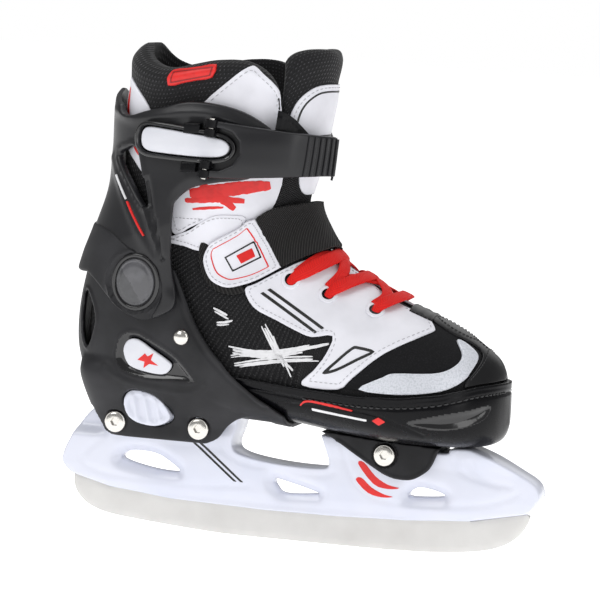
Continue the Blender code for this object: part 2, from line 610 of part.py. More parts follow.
RELEASE = ((-92.0, 213.5), (-91.0, 222.0), (-87.5, 224.2), (-60.0, 221.4), (-43.5, 220.0), (-40.5, 217.0),
           (-42.5, 212.0), (-60.0, 209.8), (-88.0, 211.0))
LEVER = ((-55.5, 199.3), (-36.0, 199.8), (-20.0, 201.0), (24.0, 204.0), (24.0, 223.5), (-10.0, 226.5),
         (-36.0, 229.0), (-52.4, 230.6), (-52.4, 226.4), (-44.0, 226.4), (-38.0, 224.5), (-34.0, 220.0),
         (-33.5, 213.0), (-37.0, 207.0), (-44.0, 203.6), (-55.5, 203.6))


def make_cuff():
    cuff = form_wall("cuff", (15.0, 21.9), (0.07, 0.93), cuff_in, cuff_out)
    trimmed(cuff, CUFF)
    for side in (-1, 1):
        span = sorted((side * 8, side * 60))
        boolean(cuff, cross_rod(f"cut_cuff_pivot_{side}", *PIVOT, *span, PIVOT_R + GAP))
        boolean(cuff, extruded(f"cut_cuff_window_{side}", smooth_loop(CUFF_WINDOW, 2), *span))
    part(cuff, (0.02, 0.02, 0.022), 0.4)


def make_buckle():
    """Ladder strap buckle on the outer side: base, release plate, lever and its pin."""
    base = form_wall("buckle_base", (17.0, 21.9), (0.12, 0.4), over_cuff(0.5), over_cuff(2.5))
    trimmed(base, HOUSING, -1)
    hinge = PIN_HIGH - PIN_LOW
    along = hinge.normalized()
    for k, start in enumerate((PIN_LOW + along * 5.6, PIN_HIGH - along * 10.0)):
        boolean(base, rod(f"add_ear_{k}", start, start + along * 4.4, KNUCKLE_R), "UNION")
        x, z = start.x, start.z
        web = [(x - 3.2, z), (x + 3.4, z), (x + 3.9, z + 4.3), (x - 2.7, z + 4.3)]
        boolean(base, extruded(f"add_ear_web_{k}", web, -48.0, -44.4), "UNION")
    boolean(base, rod("cut_ear_bore", PIN_LOW, PIN_HIGH, PIN_R + GAP))
    part(base, (0.02, 0.02, 0.02), 0.3)
    plate = form_wall("release_plate", (17.0, 21.9), (0.12, 0.4), over_cuff(3.0), over_cuff(4.9))
    trimmed(plate, RELEASE, -1)
    part(plate, (0.85, 0.86, 0.9), 0.3)
    lever = form_wall("buckle_lever", (16.5, 21.9), (0.05, 0.3), over_cuff(3.6), over_cuff(6.2))
    trimmed(lever, LEVER, -1)
    for k, start in enumerate((PIN_LOW + along * 0.7, PIN_HIGH - along * 5.2)):
        boolean(lever, rod(f"add_knuckle_{k}", start, start + along * 4.4, KNUCKLE_R), "UNION")
    boolean(lever, rod("cut_knuckle_bore", PIN_LOW - along, PIN_HIGH + along, PIN_R + GAP))
    part(lever, (0.02, 0.02, 0.022), 0.25)
    ends = (("lower", PIN_LOW, PIN_LOW + along * 9.6), ("upper", PIN_HIGH - along * 9.6, PIN_HIGH))
    for label, start, end in ends:
        part(rod(f"lever_pin_{label}", start, end, PIN_R, 10), (0.75, 0.74, 0.72), 0.25, 1.0)


def make_ladder_strap():
    """Toothed strap from the inner wing of the cuff, round the shin, into the buckle."""
    strap = form_wall("ladder_strap", (18.3, 19.9), (-0.2, 0.155), over_cuff(0.6), over_cuff(2.2), bow=1.0)
    part(strap, (0.02, 0.02, 0.02), 0.4)


# ---------------------------------------------------------------- instep strap
TAB = ((-27.8, 177.4), (-12.2, 152.9), (-18.0, 149.2), (-25.0, 145.0), (-32.0, 142.0), (-40.0, 139.8),
       (-46.0, 141.0), (-50.4, 143.7), (-53.4, 149.0), (-54.5, 155.0), (-51.8, 161.6), (-48.0, 165.0),
       (-36.0, 172.0), (-32.0, 176.0))
ANCHOR = ((-78.0, 163.0), (-64.0, 169.0), (-57.4, 173.8), (-50.0, 178.0), (-42.0, 179.0), (-33.0, 178.0),
          (-38.0, 168.0), (-48.0, 160.0), (-58.0, 158.4), (-66.0, 160.5))


def make_instep_strap():
    strap = form_wall("instep_strap", (10.2, 14.4), (-0.175, 0.175), 2.2, 3.8)
    outline = ((24.0, 171.0), (14.0, 164.4), (0.0, 159.4), (-11.4, 153.4), (-27.0, 178.2), (-18.0, 184.0),
               (0.0, 191.0), (10.0, 190.0), (24.0, 180.0))
    part(trimmed(strap, outline), (0.03, 0.028, 0.026), 0.85)
    tab = form_wall("strap_tab", (10.0, 15.5), (0.09, 0.3), 2.2, 4.0)
    part(trimmed(tab, TAB, -1), (0.86, 0.86, 0.9), 0.45)
    anchor = form_wall("strap_anchor", (12.0, 17.0), (0.12, 0.32), 0.75, 1.5)
    part(trimmed(anchor, ANCHOR, -1), (0.84, 0.84, 0.88), 0.5)


# ---------------------------------------------------------------- joints
BODIES = {
    "toe_slide": ((0.0, 0.0, 66.0), ("toe_cup", "toe_footbed", "toe_upper", "toe_cap", "lacing_panel_outer", "lacing_panel_inner",
                                     "toe_overlay_outer", "toe_overlay_inner", "lace_1", "lace_2", "lace_3",
                                     "eyelet_1_outer", "eyelet_2_outer", "eyelet_3_outer", "eyelet_1_inner",
                                     "eyelet_2_inner", "eyelet_3_inner")),
    "cuff_hinge": ((PIVOT[0], 0.0, PIVOT[1]), ("cuff", "cuff_pivot_outer", "cuff_pivot_inner", "collar", "tongue",
                                               "buckle_base", "lever_pin_lower", "lever_pin_upper",
                                               "ladder_strap")),
    "button_slide": ((BUTTON_AT[0], -20.0, BUTTON_AT[1]), ("size_button",)),
    "tab_peel": ((-19.6, -29.0, 165.8), ("strap_tab",)),
}


def main():
    for obj in list(bpy.data.objects):
        bpy.data.objects.remove(obj)
    make_blade()
    make_holder()
    for name, bolt, face in (("heel_rear", HEEL_BOLTS[0], HEEL_BOLT_FACE),
                             ("heel_front", HEEL_BOLTS[1], HEEL_BOLT_FACE), ("toe", TOE_BOLT, BRACKET_OUT)):
        make_bolt(name, *bolt, face)
    make_heel_shell()
    make_badges()
    make_size_button()
    make_domes()
    make_toe_bracket()
    make_toe_cup()
    make_overlays()
    make_laces()
    make_soft_boot()
    make_cuff()
    make_pivots()
    make_buckle()
    make_ladder_strap()
    make_instep_strap()
    for name, (place, children) in BODIES.items():
        attach(joint(name, place), place, children)
    cuff = bpy.data.objects["cuff_hinge"]
    attach(joint("lever_hinge", PIN_LOW, cuff), PIN_LOW, ("buckle_lever",))
    attach(joint("release_hinge", RELEASE_AXIS, cuff), RELEASE_AXIS, ("release_plate",))


main()
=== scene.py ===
"""Looks for a size-adjustable child's ice skate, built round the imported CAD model.

Sizes here are in millimetres and outlines are side elevations (x, z), as in the CAD part.
Objects are turned into metres when they are made.
"""

import math
from collections import namedtuple

import bmesh
import bpy
import numpy as np
from mathutils import Matrix, Vector
from mathutils.geometry import delaunay_2d_cdt


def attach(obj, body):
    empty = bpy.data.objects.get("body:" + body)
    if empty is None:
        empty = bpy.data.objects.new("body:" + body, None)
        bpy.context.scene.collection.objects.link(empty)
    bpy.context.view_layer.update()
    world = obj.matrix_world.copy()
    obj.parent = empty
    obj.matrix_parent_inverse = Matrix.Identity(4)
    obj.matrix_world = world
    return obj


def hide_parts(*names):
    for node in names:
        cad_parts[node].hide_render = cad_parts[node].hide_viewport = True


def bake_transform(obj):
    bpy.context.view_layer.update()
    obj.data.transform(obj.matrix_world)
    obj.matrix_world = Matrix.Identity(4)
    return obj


MM = 0.001
SIDES = ((-1, "outer"), (1, "inner"))

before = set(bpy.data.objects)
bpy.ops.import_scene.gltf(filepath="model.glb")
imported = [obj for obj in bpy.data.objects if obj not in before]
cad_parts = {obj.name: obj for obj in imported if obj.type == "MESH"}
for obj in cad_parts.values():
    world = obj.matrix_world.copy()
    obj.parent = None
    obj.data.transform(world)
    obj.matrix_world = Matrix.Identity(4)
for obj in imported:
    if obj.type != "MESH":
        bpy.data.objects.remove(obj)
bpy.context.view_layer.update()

# Where a patch's points are: side elevation (x, z), place on the form, and unrolled millimetres.
Spot = namedtuple("Spot", "xz s t flat")

# ---------------------------------------------------------------- sizes repeated from the CAD part
SOFT_WALL = 3.6
OVERLAY_LOW, OVERLAY_HIGH = 0.75, 1.9
SHELL_LOW, SHELL_HIGH = 3.7, 6.5
CUFF_WALL = 2.9
THROAT, GUSSET, HEEL, COLLAR, RIM, TONGUE_TOP = 9.0, 11.4, 14.3, 18.0, 22.0, 23.0
PIVOT = (-90.0, 139.5)
HEEL_BOLTS = ((-104.0, 59.6), (-56.0, 59.6))
HEEL_BOLT_FACE = 19.6
TOE_BOLT = (49.0, 54.0)
BRACKET_FACE = 16.0
BOLT_HEAD, BOLT_BORE = 2.4, 5.35
DOME = (-63.6, 111.0)

# (front x, front z, back x, back z, half width, centre y, widest at, front roundness, back roundness)
STATIONS = np.array((
    (108.5, 96.0, 109.3, 76.0, 0.7, 4.0, 0.55, 2.2, 2.2),
    (107.3, 102.0, 107.6, 70.5, 8.5, 4.0, 0.60, 2.2, 2.4),
    (104.0, 108.0, 104.8, 67.2, 16.5, 3.9, 0.64, 2.1, 2.7),
    (98.5, 112.5, 99.0, 65.5, 24.5, 3.6, 0.67, 2.0, 3.0),
    (89.0, 119.0, 90.0, 64.8, 32.0, 3.0, 0.69, 2.0, 3.2),
    (77.0, 125.5, 78.0, 64.6, 37.3, 2.2, 0.70, 2.0, 3.3),
    (62.0, 131.5, 62.0, 64.9, 40.0, 1.2, 0.70, 2.0, 3.3),
    (45.0, 138.5, 43.0, 66.0, 40.0, 0.5, 0.69, 1.95, 3.3),
    (28.0, 146.5, 22.0, 67.8, 37.5, 0.0, 0.66, 1.9, 3.2),
    (15.0, 154.0, -2.0, 70.0, 35.0, 0.0, 0.62, 1.9, 3.1),
    (6.5, 162.5, -28.0, 72.0, 33.3, 0.0, 0.60, 1.95, 3.0),
    (0.0, 172.5, -58.0, 73.0, 32.0, 0.0, 0.58, 2.0, 2.9),
    (-4.0, 180.5, -90.0, 73.6, 31.2, 0.0, 0.56, 2.05, 2.8),
    (-5.6, 187.0, -115.0, 79.5, 30.8, 0.0, 0.54, 2.1, 2.6),
    (-5.2, 192.0, -124.5, 95.0, 31.0, 0.0, 0.53, 2.15, 2.45),
    (-3.8, 197.0, -126.5, 115.0, 31.8, 0.0, 0.53, 2.2, 2.35),
    (-2.2, 203.0, -123.5, 138.0, 33.0, 0.0, 0.53, 2.2, 2.3),
    (-0.6, 210.0, -116.5, 163.0, 34.0, 0.0, 0.52, 2.2, 2.3),
    (1.0, 219.0, -111.0, 187.0, 34.6, 0.0, 0.51, 2.2, 2.3),
    (3.0, 231.0, -111.0, 212.0, 35.4, 0.0, 0.50, 2.2, 2.3),
    (4.8, 243.0, -111.0, 234.0, 36.0, 0.0, 0.50, 2.2, 2.3),
    (5.0, 253.0, -108.5, 250.0, 36.0, 0.0, 0.50, 2.2, 2.3),
    (3.5, 261.0, -104.0, 264.0, 35.0, 0.0, 0.50, 2.2, 2.3),
    (1.5, 266.0, -100.0, 279.0, 33.5, 0.0, 0.50, 2.2, 2.3),
))


# ---------------------------------------------------------------- foot form
def ramp(value, start, end, low, high):
    """low before start, high after end, and a straight ramp between."""
    return low + (high - low) * np.clip((value - start) / (end - start), 0.0, 1.0)


def smooth(value, start, end):
    """0 before start, 1 after end, and a soft step between."""
    x = np.clip((value - start) / (end - start), 0.0, 1.0)
    return x * x * (3 - 2 * x)


def bell(value, width):
    """1 where value is 0, and softly less on both sides."""
    return np.exp(-(value / width) ** 2)


def spline(rows, u):
    """Catmull-Rom through rows, at each index in u."""
    rows = np.asarray(rows, float)
    u = np.asarray(u, float)
    i = np.clip(np.floor(u).astype(int), 0, len(rows) - 2)
    f = (u - i)[..., None]
    a, b, c, d = (rows[np.clip(i + k, 0, len(rows) - 1)] for k in (-1, 0, 1, 2))
    square, cube = 2 * a - 5 * b + 4 * c - d, 3 * b - a - 3 * c + d
    return 0.5 * (2 * b + (c - a) * f + square * f ** 2 + cube * f ** 3)


def skin(s, t):
    """The upper's surface. t is 0 at the shin, 0.25 near the middle of the outer side and 0.5 at the back."""
    s, t = np.broadcast_arrays(np.asarray(s, float), np.asarray(t, float))
    fx, fz, bx, bz, half, mid, widest, round_f, round_b = np.moveaxis(spline(STATIONS, s), -1, 0)
    c, w = np.cos(2 * np.pi * t), np.sin(2 * np.pi * t)
    front = c >= 0
    power = 2 / np.where(front, round_f, round_b)
    depth = np.abs(c) ** power
    along = np.where(front, widest * (1 - depth), widest + (1 - widest) * depth)
    wide = np.abs(w) ** power
    side = np.where(w >= 0, -1, 1)
    return np.stack([fx + (bx - fx) * along, mid + side * half * wide, fz + (bz - fz) * along], -1)


def normal(s, t):
    s, t = np.broadcast_arrays(np.asarray(s, float), np.asarray(t, float))
    across = skin(s, t + 0.004) - skin(s, t - 0.004)
    along = skin(np.minimum(s + 0.03, TONGUE_TOP), t) - skin(np.maximum(s - 0.03, 0), t)
    n = np.cross(along, across)
    return n / np.linalg.norm(n, axis=-1, keepdims=True)


def lift(s, t, off):
    """Points off millimetres outside the upper's surface."""
    return skin(s, t) + normal(s, t) * np.asarray(off, float)[..., None]


def lengths(line):
    """Length from the start of a line to each of its points."""
    return np.concatenate([[0], np.cumsum(np.linalg.norm(np.diff(line, axis=0), axis=1))])


S_ROWS = np.linspace(0, TONGUE_TOP, 461)
COLS = np.linspace(0, 1, 1025)


def arc_tables():
    """Share of the length round each section, that share's t, the whole, and length along the side."""
    around = np.linalg.norm(np.diff(skin(S_ROWS[:, None], COLS), axis=1), axis=2)
    run = np.concatenate([np.zeros((len(S_ROWS), 1)), np.cumsum(around, axis=1)], axis=1)
    share = run / run[:, -1:]
    t_of_share = np.array([np.interp(COLS, row, COLS) for row in share])
    return share, t_of_share, run[:, -1], lengths(skin(S_ROWS, 0.25))


SHARE, T_OF_SHARE, GIRTH, ALONG = arc_tables()


def look_up(table, s, c):
    """Bilinear value of a table over S_ROWS and COLS, where c may run past 0 and 1 by whole turns."""
    turns = np.floor(c)
    i = np.clip(s / TONGUE_TOP * (len(S_ROWS) - 1), 0, len(S_ROWS) - 1.001)
    j = np.clip((c - turns) * (len(COLS) - 1), 0, len(COLS) - 1.001)
    i0, j0 = i.astype(int), j.astype(int)
    fi, fj = i - i0, j - j0
    low = table[i0, j0] * (1 - fj) + table[i0, j0 + 1] * fj
    high = table[i0 + 1, j0] * (1 - fj) + table[i0 + 1, j0 + 1] * fj
    return turns + low * (1 - fi) + high * fi


def to_flat(st, centre):
    """(s, t) unrolled to millimetres along and round, from the line t = centre."""
    s, t = np.asarray(st, float).T
    round_ = look_up(SHARE, s, t) - look_up(SHARE, s, np.full_like(s, centre))
    return np.stack([np.interp(s, S_ROWS, ALONG), round_ * np.interp(s, S_ROWS, GIRTH)], -1)


def to_form(flat, centre):
    u, v = np.asarray(flat, float).T
    s = np.interp(u, ALONG, S_ROWS)
    share = look_up(SHARE, s, np.full_like(s, centre)) + v / np.interp(s, S_ROWS, GIRTH)
    return np.stack([s, look_up(T_OF_SHARE, s, share)], -1)


FIND_S, FIND_T = np.meshgrid(np.linspace(0, TONGUE_TOP, 231), np.linspace(0.004, 0.496, 124), indexing="ij")


def locate(points, off=0.0):
    """(s, t) on the outer side that stands at each (x, z) when lifted by off, a number or a function of s."""
    height = off if callable(off) else lambda s: np.full_like(s, off)
    seen = lift(FIND_S, FIND_T, height(FIND_S))[..., ::2].reshape(-1, 2)
    points = np.asarray(points, float)
    near = np.argmin(((points[:, None] - seen[None]) ** 2).sum(-1), axis=1)
    st = np.stack([FIND_S.reshape(-1)[near], FIND_T.reshape(-1)[near]], -1)

    def at(s, t):
        return lift(s, t, height(s))[..., ::2]

    for _ in range(4):
        s, t = st.T
        here = at(s, t)
        d_s = (at(s + 0.01, t) - here) / 0.01
        d_t = (at(s, t + 0.001) - here) / 0.001
        miss = points - here
        det = d_s[:, 0] * d_t[:, 1] - d_s[:, 1] * d_t[:, 0]
        det = np.where(np.abs(det) < 20.0, np.copysign(20.0, det), det)
        step_s = (miss[:, 0] * d_t[:, 1] - miss[:, 1] * d_t[:, 0]) / det
        step_t = (d_s[:, 0] * miss[:, 1] - d_s[:, 1] * miss[:, 0]) / det
        st = st + np.stack([np.clip(step_s, -0.15, 0.15), np.clip(step_t, -0.01, 0.01)], -1)
        st[:, 0] = np.clip(st[:, 0], 0, TONGUE_TOP)
        st[:, 1] = np.clip(st[:, 1], 0.001, 0.499)
    return st


def mirrored(st, centre):
    """The same points on the other side of the line t = centre."""
    return np.stack([st[:, 0], 2 * centre - st[:, 1]], -1)


def wrapped(edge, centre):
    """A loop from an edge on the outer side and its mirror image."""
    return np.concatenate([edge, mirrored(edge, centre)[::-1]])


def cuff_in(s):
    return ramp(s, 16.5, 19.0, 7.9, 4.3)


def cuff_out(s):
    return cuff_in(s) + CUFF_WALL


def over_cuff(extra):
    return lambda s: cuff_out(s) + extra


def cup_out(s):
    return ramp(s, 8.0, 8.9, 3.9, 3.3)


# ---------------------------------------------------------------- outlines
def rounded(points, steps=4, closed=True):
    """Catmull-Rom through an outline's points."""
    points = np.asarray(points, float)
    n = len(points)
    if closed:
        rows = np.concatenate([points[-1:], points, points[:2]])
        return spline(rows, 1 + np.arange(n * steps) / steps)
    return spline(points, np.linspace(0, n - 1, (n - 1) * steps + 1))


def resampled(points, spacing, closed=True):
    """Points an even distance apart along a line, with its own corners kept where they turn sharply."""
    points = np.asarray(points, float)
    ring = np.concatenate([points, points[:1]]) if closed else points
    legs = np.linalg.norm(np.diff(ring, axis=0), axis=1)
    out = []
    for a, b, leg in zip(ring[:-1], ring[1:], legs):
        count = max(1, int(round(leg / spacing)))
        out.append(a + (b - a) * (np.arange(count) / count)[:, None])
    line = np.concatenate(out)
    return line if closed else np.concatenate([line, ring[-1:]])


def evened(points, spacing, closed=True):
    """Points an even distance apart along a line, whatever its own points are."""
    points = np.asarray(points, float)
    ring = np.concatenate([points, points[:1]]) if closed else points
    run = lengths(ring)
    count = max(3, int(round(run[-1] / spacing)))
    at = np.linspace(0, run[-1], count + 1)[: -1 if closed else None]
    return np.stack([np.interp(at, run, ring[:, k]) for k in range(ring.shape[1])], -1)


def distance_to(points, line, closed=True):
    """Distance from each point to a polyline."""
    ring = np.concatenate([line, line[:1]]) if closed else line
    a, b = ring[:-1], ring[1:]
    best = np.full(len(points), np.inf)
    for start in range(0, len(a), 64):
        a_, b_ = a[start:start + 64], b[start:start + 64]
        leg = b_ - a_
        share = ((points[:, None] - a_) * leg).sum(-1) / np.maximum((leg ** 2).sum(-1), 1e-9)
        foot = a_ + np.clip(share, 0, 1)[..., None] * leg
        best = np.minimum(best, np.linalg.norm(points[:, None] - foot, axis=-1).min(axis=1))
    return best


def inside(points, loop):
    """Which points lie inside a closed outline."""
    x, y = points.T
    hit = np.zeros(len(points), bool)
    for (x0, y0), (x1, y1) in zip(loop, np.roll(loop, -1, axis=0)):
        crosses = (y0 > y) != (y1 > y)
        with np.errstate(divide="ignore", invalid="ignore"):
            at = x0 + (y - y0) / (y1 - y0) * (x1 - x0)
        hit ^= crosses & (x < at)
    return hit


def turned_way(loop):
    """Signed area of an outline."""
    nxt = np.roll(loop, -1, axis=0)
    return 0.5 * (loop[:, 0] * nxt[:, 1] - nxt[:, 0] * loop[:, 1]).sum()


def inset(loop, by):
    """An outline moved inwards, without the points that fall too near another side."""
    ahead, behind = np.roll(loop, -1, axis=0), np.roll(loop, 1, axis=0)
    along = ahead - behind
    along /= np.maximum(np.linalg.norm(along, axis=1, keepdims=True), 1e-9)
    inwards = np.stack([-along[:, 1], along[:, 0]], -1) * math.copysign(1, turned_way(loop))
    moved = loop + inwards * by
    sign = 1 if by > 0 else -1
    keep = (distance_to(moved, loop) > abs(by) * 0.93) & (inside(moved, loop) == (sign > 0))
    return moved[keep]


def triangulate(loop, holes, lines, ring_steps, step):
    """Points and triangles inside an outline. ring_steps are how far in the closer rows of points stand."""
    loops = [loop, *holes]
    points, edges = [], []
    for closed, line in [(True, one) for one in loops] + [(False, one) for one in lines]:
        first = sum(len(p) for p in points)
        n = len(line)
        points.append(line)
        edges += [(first + k, first + (k + 1) % n) for k in range(n if closed else n - 1)]
    fixed = np.concatenate(points)
    for one, side in [(loop, 1)] + [(hole, -1) for hole in holes]:
        for by in ring_steps:
            points.append(inset(one, side * by))
    low, high = loop.min(axis=0), loop.max(axis=0)
    columns = np.arange(low[0], high[0], step * 0.866)
    rows = np.arange(low[1], high[1], step)
    u, v = np.meshgrid(columns, rows, indexing="ij")
    v = v + (np.arange(len(columns)) % 2)[:, None] * step / 2
    scattered = np.stack([u.ravel(), v.ravel()], -1)
    scattered = scattered[inside(scattered, loop)]
    for one in loops:
        scattered = scattered[distance_to(scattered, one) > ring_steps[-1] + step * 0.45]
    for one in lines:
        scattered = scattered[distance_to(scattered, one, closed=False) > step * 0.3]
    points.append(scattered)
    every = np.concatenate(points)
    loose = every[len(fixed):]
    for one in lines:
        loose = loose[distance_to(loose, one, closed=False) > 0.12]
    every = np.concatenate([fixed, loose])
    out = delaunay_2d_cdt([Vector(p) for p in every], edges, [], 1, 1e-5, False)
    verts = np.array([v[:] for v in out[0]])
    faces = np.array([f for f in out[2] if len(f) == 3])
    middle = verts[faces].mean(axis=1)
    good = inside(middle, loop)
    for hole in holes:
        good &= ~inside(middle, hole)
    faces = faces[good]
    corner = verts[faces]
    side_a, side_b = corner[:, 1] - corner[:, 0], corner[:, 2] - corner[:, 0]
    area = side_a[:, 0] * side_b[:, 1] - side_a[:, 1] * side_b[:, 0]
    faces[area < 0] = faces[area < 0][:, ::-1]
    used = np.unique(faces)
    index = np.full(len(verts), -1)
    index[used] = np.arange(len(used))
    return verts[used], index[faces]


def rim_edges(faces):
    """Directed edges that only one triangle has."""
    edges = {(a, b) for f in faces.tolist() for a, b in zip(f, f[1:] + f[:1])}
    return [(a, b) for a, b in edges if (b, a) not in edges]


def quads(rows, columns, closed=True):
    """Faces between rows of points, where each row may close on itself."""
    faces = []
    for i in range(rows - 1):
        for j in range(columns if closed else columns - 1):
            a, b = i * columns + j, i * columns + (j + 1) % columns
            faces.append((a, b, b + columns, a + columns))
    return faces


def end_caps(rows, columns):
    """Faces over the first and the last row of points."""
    return [tuple(range(columns))[::-1], tuple(range((rows - 1) * columns, rows * columns))]


# ---------------------------------------------------------------- objects
def linked(name, data):
    obj = bpy.data.objects.new(name, data)
    bpy.context.scene.collection.objects.link(obj)
    return obj


def shade(mesh, sharp):
    """Smooth shading, with creases where faces meet at more than sharp degrees."""
    mesh.shade_smooth()
    if sharp:
        mesh.set_sharp_from_angle(angle=math.radians(sharp))


def new_object(name, verts, faces, look=None, flat=None, sharp=40):
    """A mesh object from points in millimetres. flat holds unrolled millimetres for woven patterns."""
    mesh = bpy.data.meshes.new(name)
    mesh.from_pydata((np.asarray(verts, float) * MM).tolist(), [], [list(map(int, f)) for f in faces])
    mesh.validate()
    if flat is not None and len(flat) == len(mesh.vertices):
        layer = mesh.attributes.new("flat", "FLOAT_VECTOR", "POINT")
        layer.data.foreach_set("vector", np.ascontiguousarray(flat, dtype=np.float32).ravel())
    obj = linked(name, mesh)
    shade(mesh, sharp)
    if look:
        mesh.materials.append(look)
    return obj


def face_outwards(obj, weld=False):
    """Turn every face outwards, after joining points that coincide if asked."""
    bm = bmesh.new()
    bm.from_mesh(obj.data)
    if weld:
        bmesh.ops.remove_doubles(bm, verts=bm.verts, dist=1e-6)
    bmesh.ops.recalc_face_normals(bm, faces=bm.faces)
    bm.to_mesh(obj.data)
    bm.free()
    return obj


def edge_drop(distance, radius):
    """How far a rounded edge falls below the top."""
    inner = 1 - np.clip(distance / max(radius, 1e-6), 0, 1)
    return radius * (1 - np.sqrt(np.clip(1 - inner ** 2, 0, 1)))


def thick_patch(verts, faces, top, bottom):
    """Closed points and faces from one triangulation lifted to a top and a bottom."""
    n = len(verts)
    walls = [(a, a + n, b + n, b) for a, b in rim_edges(faces)]
    return np.concatenate([top, bottom]), [*faces.tolist(), *(faces[:, ::-1] + n).tolist(), *walls]


RING_SHARES = (0.25, 0.6, 1.1)


def rim_gap(verts, loops):
    """Distance from each point to the nearest outline."""
    return np.min([distance_to(verts, line) for line in loops], axis=0)


def patch(name, loop, low, high, look, centre=0.25, holes=(), lines=(), step=2.4, edge=0.6, relief=None,
          spacing=1.2, looks=(), rise=None):
    """A sewn or moulded piece on the form between two standoffs, with rounded edges.

    loop and holes are (s, t) outlines. relief(Spot) adds height to the top, and rise(s, t) to both faces.
    looks is a list of (material, outline in s, t) for the faces inside that outline.
    """
    loops = [evened(to_flat(line, centre), spacing) for line in (loop, *holes)]
    open_lines = [evened(to_flat(line, centre), spacing, closed=False) for line in lines]
    verts, faces = triangulate(loops[0], loops[1:], open_lines, [edge * k for k in RING_SHARES], step)
    st = to_form(verts, centre)
    s, t = st.T
    height_high = high(s) if callable(high) else np.full_like(s, high)
    height_low = low(s) if callable(low) else np.full_like(s, low)
    if rise:
        height_high, height_low = height_high + rise(s, t), height_low + rise(s, t)
    if relief:
        height_high = height_high + relief(Spot(lift(s, t, height_high)[:, ::2], s, t, verts))
    height_high = np.maximum(height_high - edge_drop(rim_gap(verts, loops), edge), height_low + 0.05)
    points, all_faces = thick_patch(verts, faces, lift(s, t, height_high), lift(s, t, height_low))
    flat = np.concatenate([verts, verts])
    flat = np.concatenate([flat, np.zeros((len(flat), 1))], axis=1)
    obj = new_object(name, points, all_faces, look, flat, sharp=50)
    middle = verts[faces].mean(axis=1)
    for slot_index, (other, region) in enumerate(looks, start=1):
        obj.data.materials.append(other)
        for index in np.nonzero(inside(middle, to_flat(region, centre)))[0]:
            obj.data.polygons[int(index)].material_index = slot_index
    return obj


def side_patch(name, side, loop, *args, **kwargs):
    """A patch on the outer side, or its mirror image on the inner side."""
    if side > 0:
        loop = mirrored(loop, 0.5)[::-1]
        if "holes" in kwargs:
            kwargs["holes"] = [mirrored(one, 0.5)[::-1] for one in kwargs["holes"]]
        if "looks" in kwargs:
            kwargs["looks"] = [(look, mirrored(area, 0.5)[::-1]) for look, area in kwargs["looks"]]
        kwargs["centre"] = 1 - kwargs.get("centre", 0.25)
    return patch(name, loop, *args, **kwargs)


def ink(name, side, loop, low, high, look, step=1.6, spacing=0.8, edge=0.05, **options):
    """A print or a thin trim on a face, between two standoffs."""
    return side_patch(name, side, loop, low, high, look, step=step, spacing=spacing, edge=edge, **options)


def zone(name, s_range, t_range, low, high, look, rows, columns, centre=0.25, rim=None):
    """A closed padded wall on the form, as an even grid. low and high are functions of s and t.

    rim(t) draws the upper edge in from the end of s_range.
    """
    whole = t_range[1] - t_range[0] > 0.999
    s_line = np.linspace(*s_range, rows + 1)
    t_line = np.linspace(*t_range, columns + 1)[: columns if whole else None]
    s, t = np.meshgrid(s_line, t_line, indexing="ij")
    st = np.stack([s.ravel(), t.ravel()], -1)
    start, end = s_range
    shown = s if rim is None else start + (s - start) * (rim(t) - start) / (end - start)
    layers = [lift(shown, t, value(s, t)).reshape(-1, 3) for value in (high, low)]
    n, width = s.size, len(t_line)
    faces = []
    for a, b, c, d in quads(rows + 1, width, whole):
        faces += [(a, d, c, b), (a + n, b + n, c + n, d + n)]
    for j in range(width if whole else width - 1):
        a, b = j, (j + 1) % width
        faces.append((a, b, b + n, a + n))
        a, b = rows * width + a, rows * width + b
        faces.append((b, a, a + n, b + n))
    if not whole:
        for a in range(0, rows * width, width):
            b, c, d = a + width, a + width - 1, a + 2 * width - 1
            faces += [(a, a + n, b + n, b), (c, d, d + n, c + n)]
    flat = to_flat(st, centre)
    flat = np.concatenate([np.concatenate([flat, flat]), np.zeros((2 * n, 1))], axis=1)
    return face_outwards(new_object(name, np.concatenate(layers), faces, look, flat, sharp=0))


def plate(name, outline, half, look, holes=(), step=2.6, edge=0.8, sharp=45, spacing=1.3):
    """A flat part seen in side elevation: half(x, z) is half its thickness, and its edges are rounded."""
    loops = [evened(line, spacing) for line in (outline, *holes)]
    verts, faces = triangulate(loops[0], loops[1:], [], [edge * k for k in RING_SHARES], step)
    depth = half(verts[:, 0], verts[:, 1]) - edge_drop(rim_gap(verts, loops), edge)
    near, far = (np.insert(verts, 1, y, axis=1) for y in (-depth, depth))
    points, all_faces = thick_patch(verts, faces, near, far)
    return new_object(name, points, all_faces, look, sharp=sharp)


def tube(path, ups, width, thick, sides=12, square=2.0):
    """Points, faces and flat of a bar swept along a path. ups points out of the surface; square above 2
    flattens its section."""
    along = np.gradient(path, axis=0)
    along /= np.linalg.norm(along, axis=1, keepdims=True)
    across = np.cross(along, ups)
    across /= np.linalg.norm(across, axis=1, keepdims=True)
    up = np.cross(across, along)
    angle = 2 * np.pi * np.arange(sides) / sides
    c, w = (np.sign(k) * np.abs(k) ** (2 / square) for k in (np.cos(angle), np.sin(angle)))
    n = len(path)
    width, thick = (np.broadcast_to(np.asarray(k, float), (n,)) for k in (width, thick))
    ring = (path[:, None] + across[:, None] * (c * 0.5)[None, :, None] * width[:, None, None]
            + up[:, None] * (w * 0.5)[None, :, None] * thick[:, None, None])
    run = np.repeat(lengths(path), sides)
    flat = np.stack([run, np.tile(c, n) * np.repeat(width, sides) / 2, np.zeros(n * sides)], -1)
    return ring.reshape(-1, 3), quads(n, sides) + end_caps(n, sides), flat


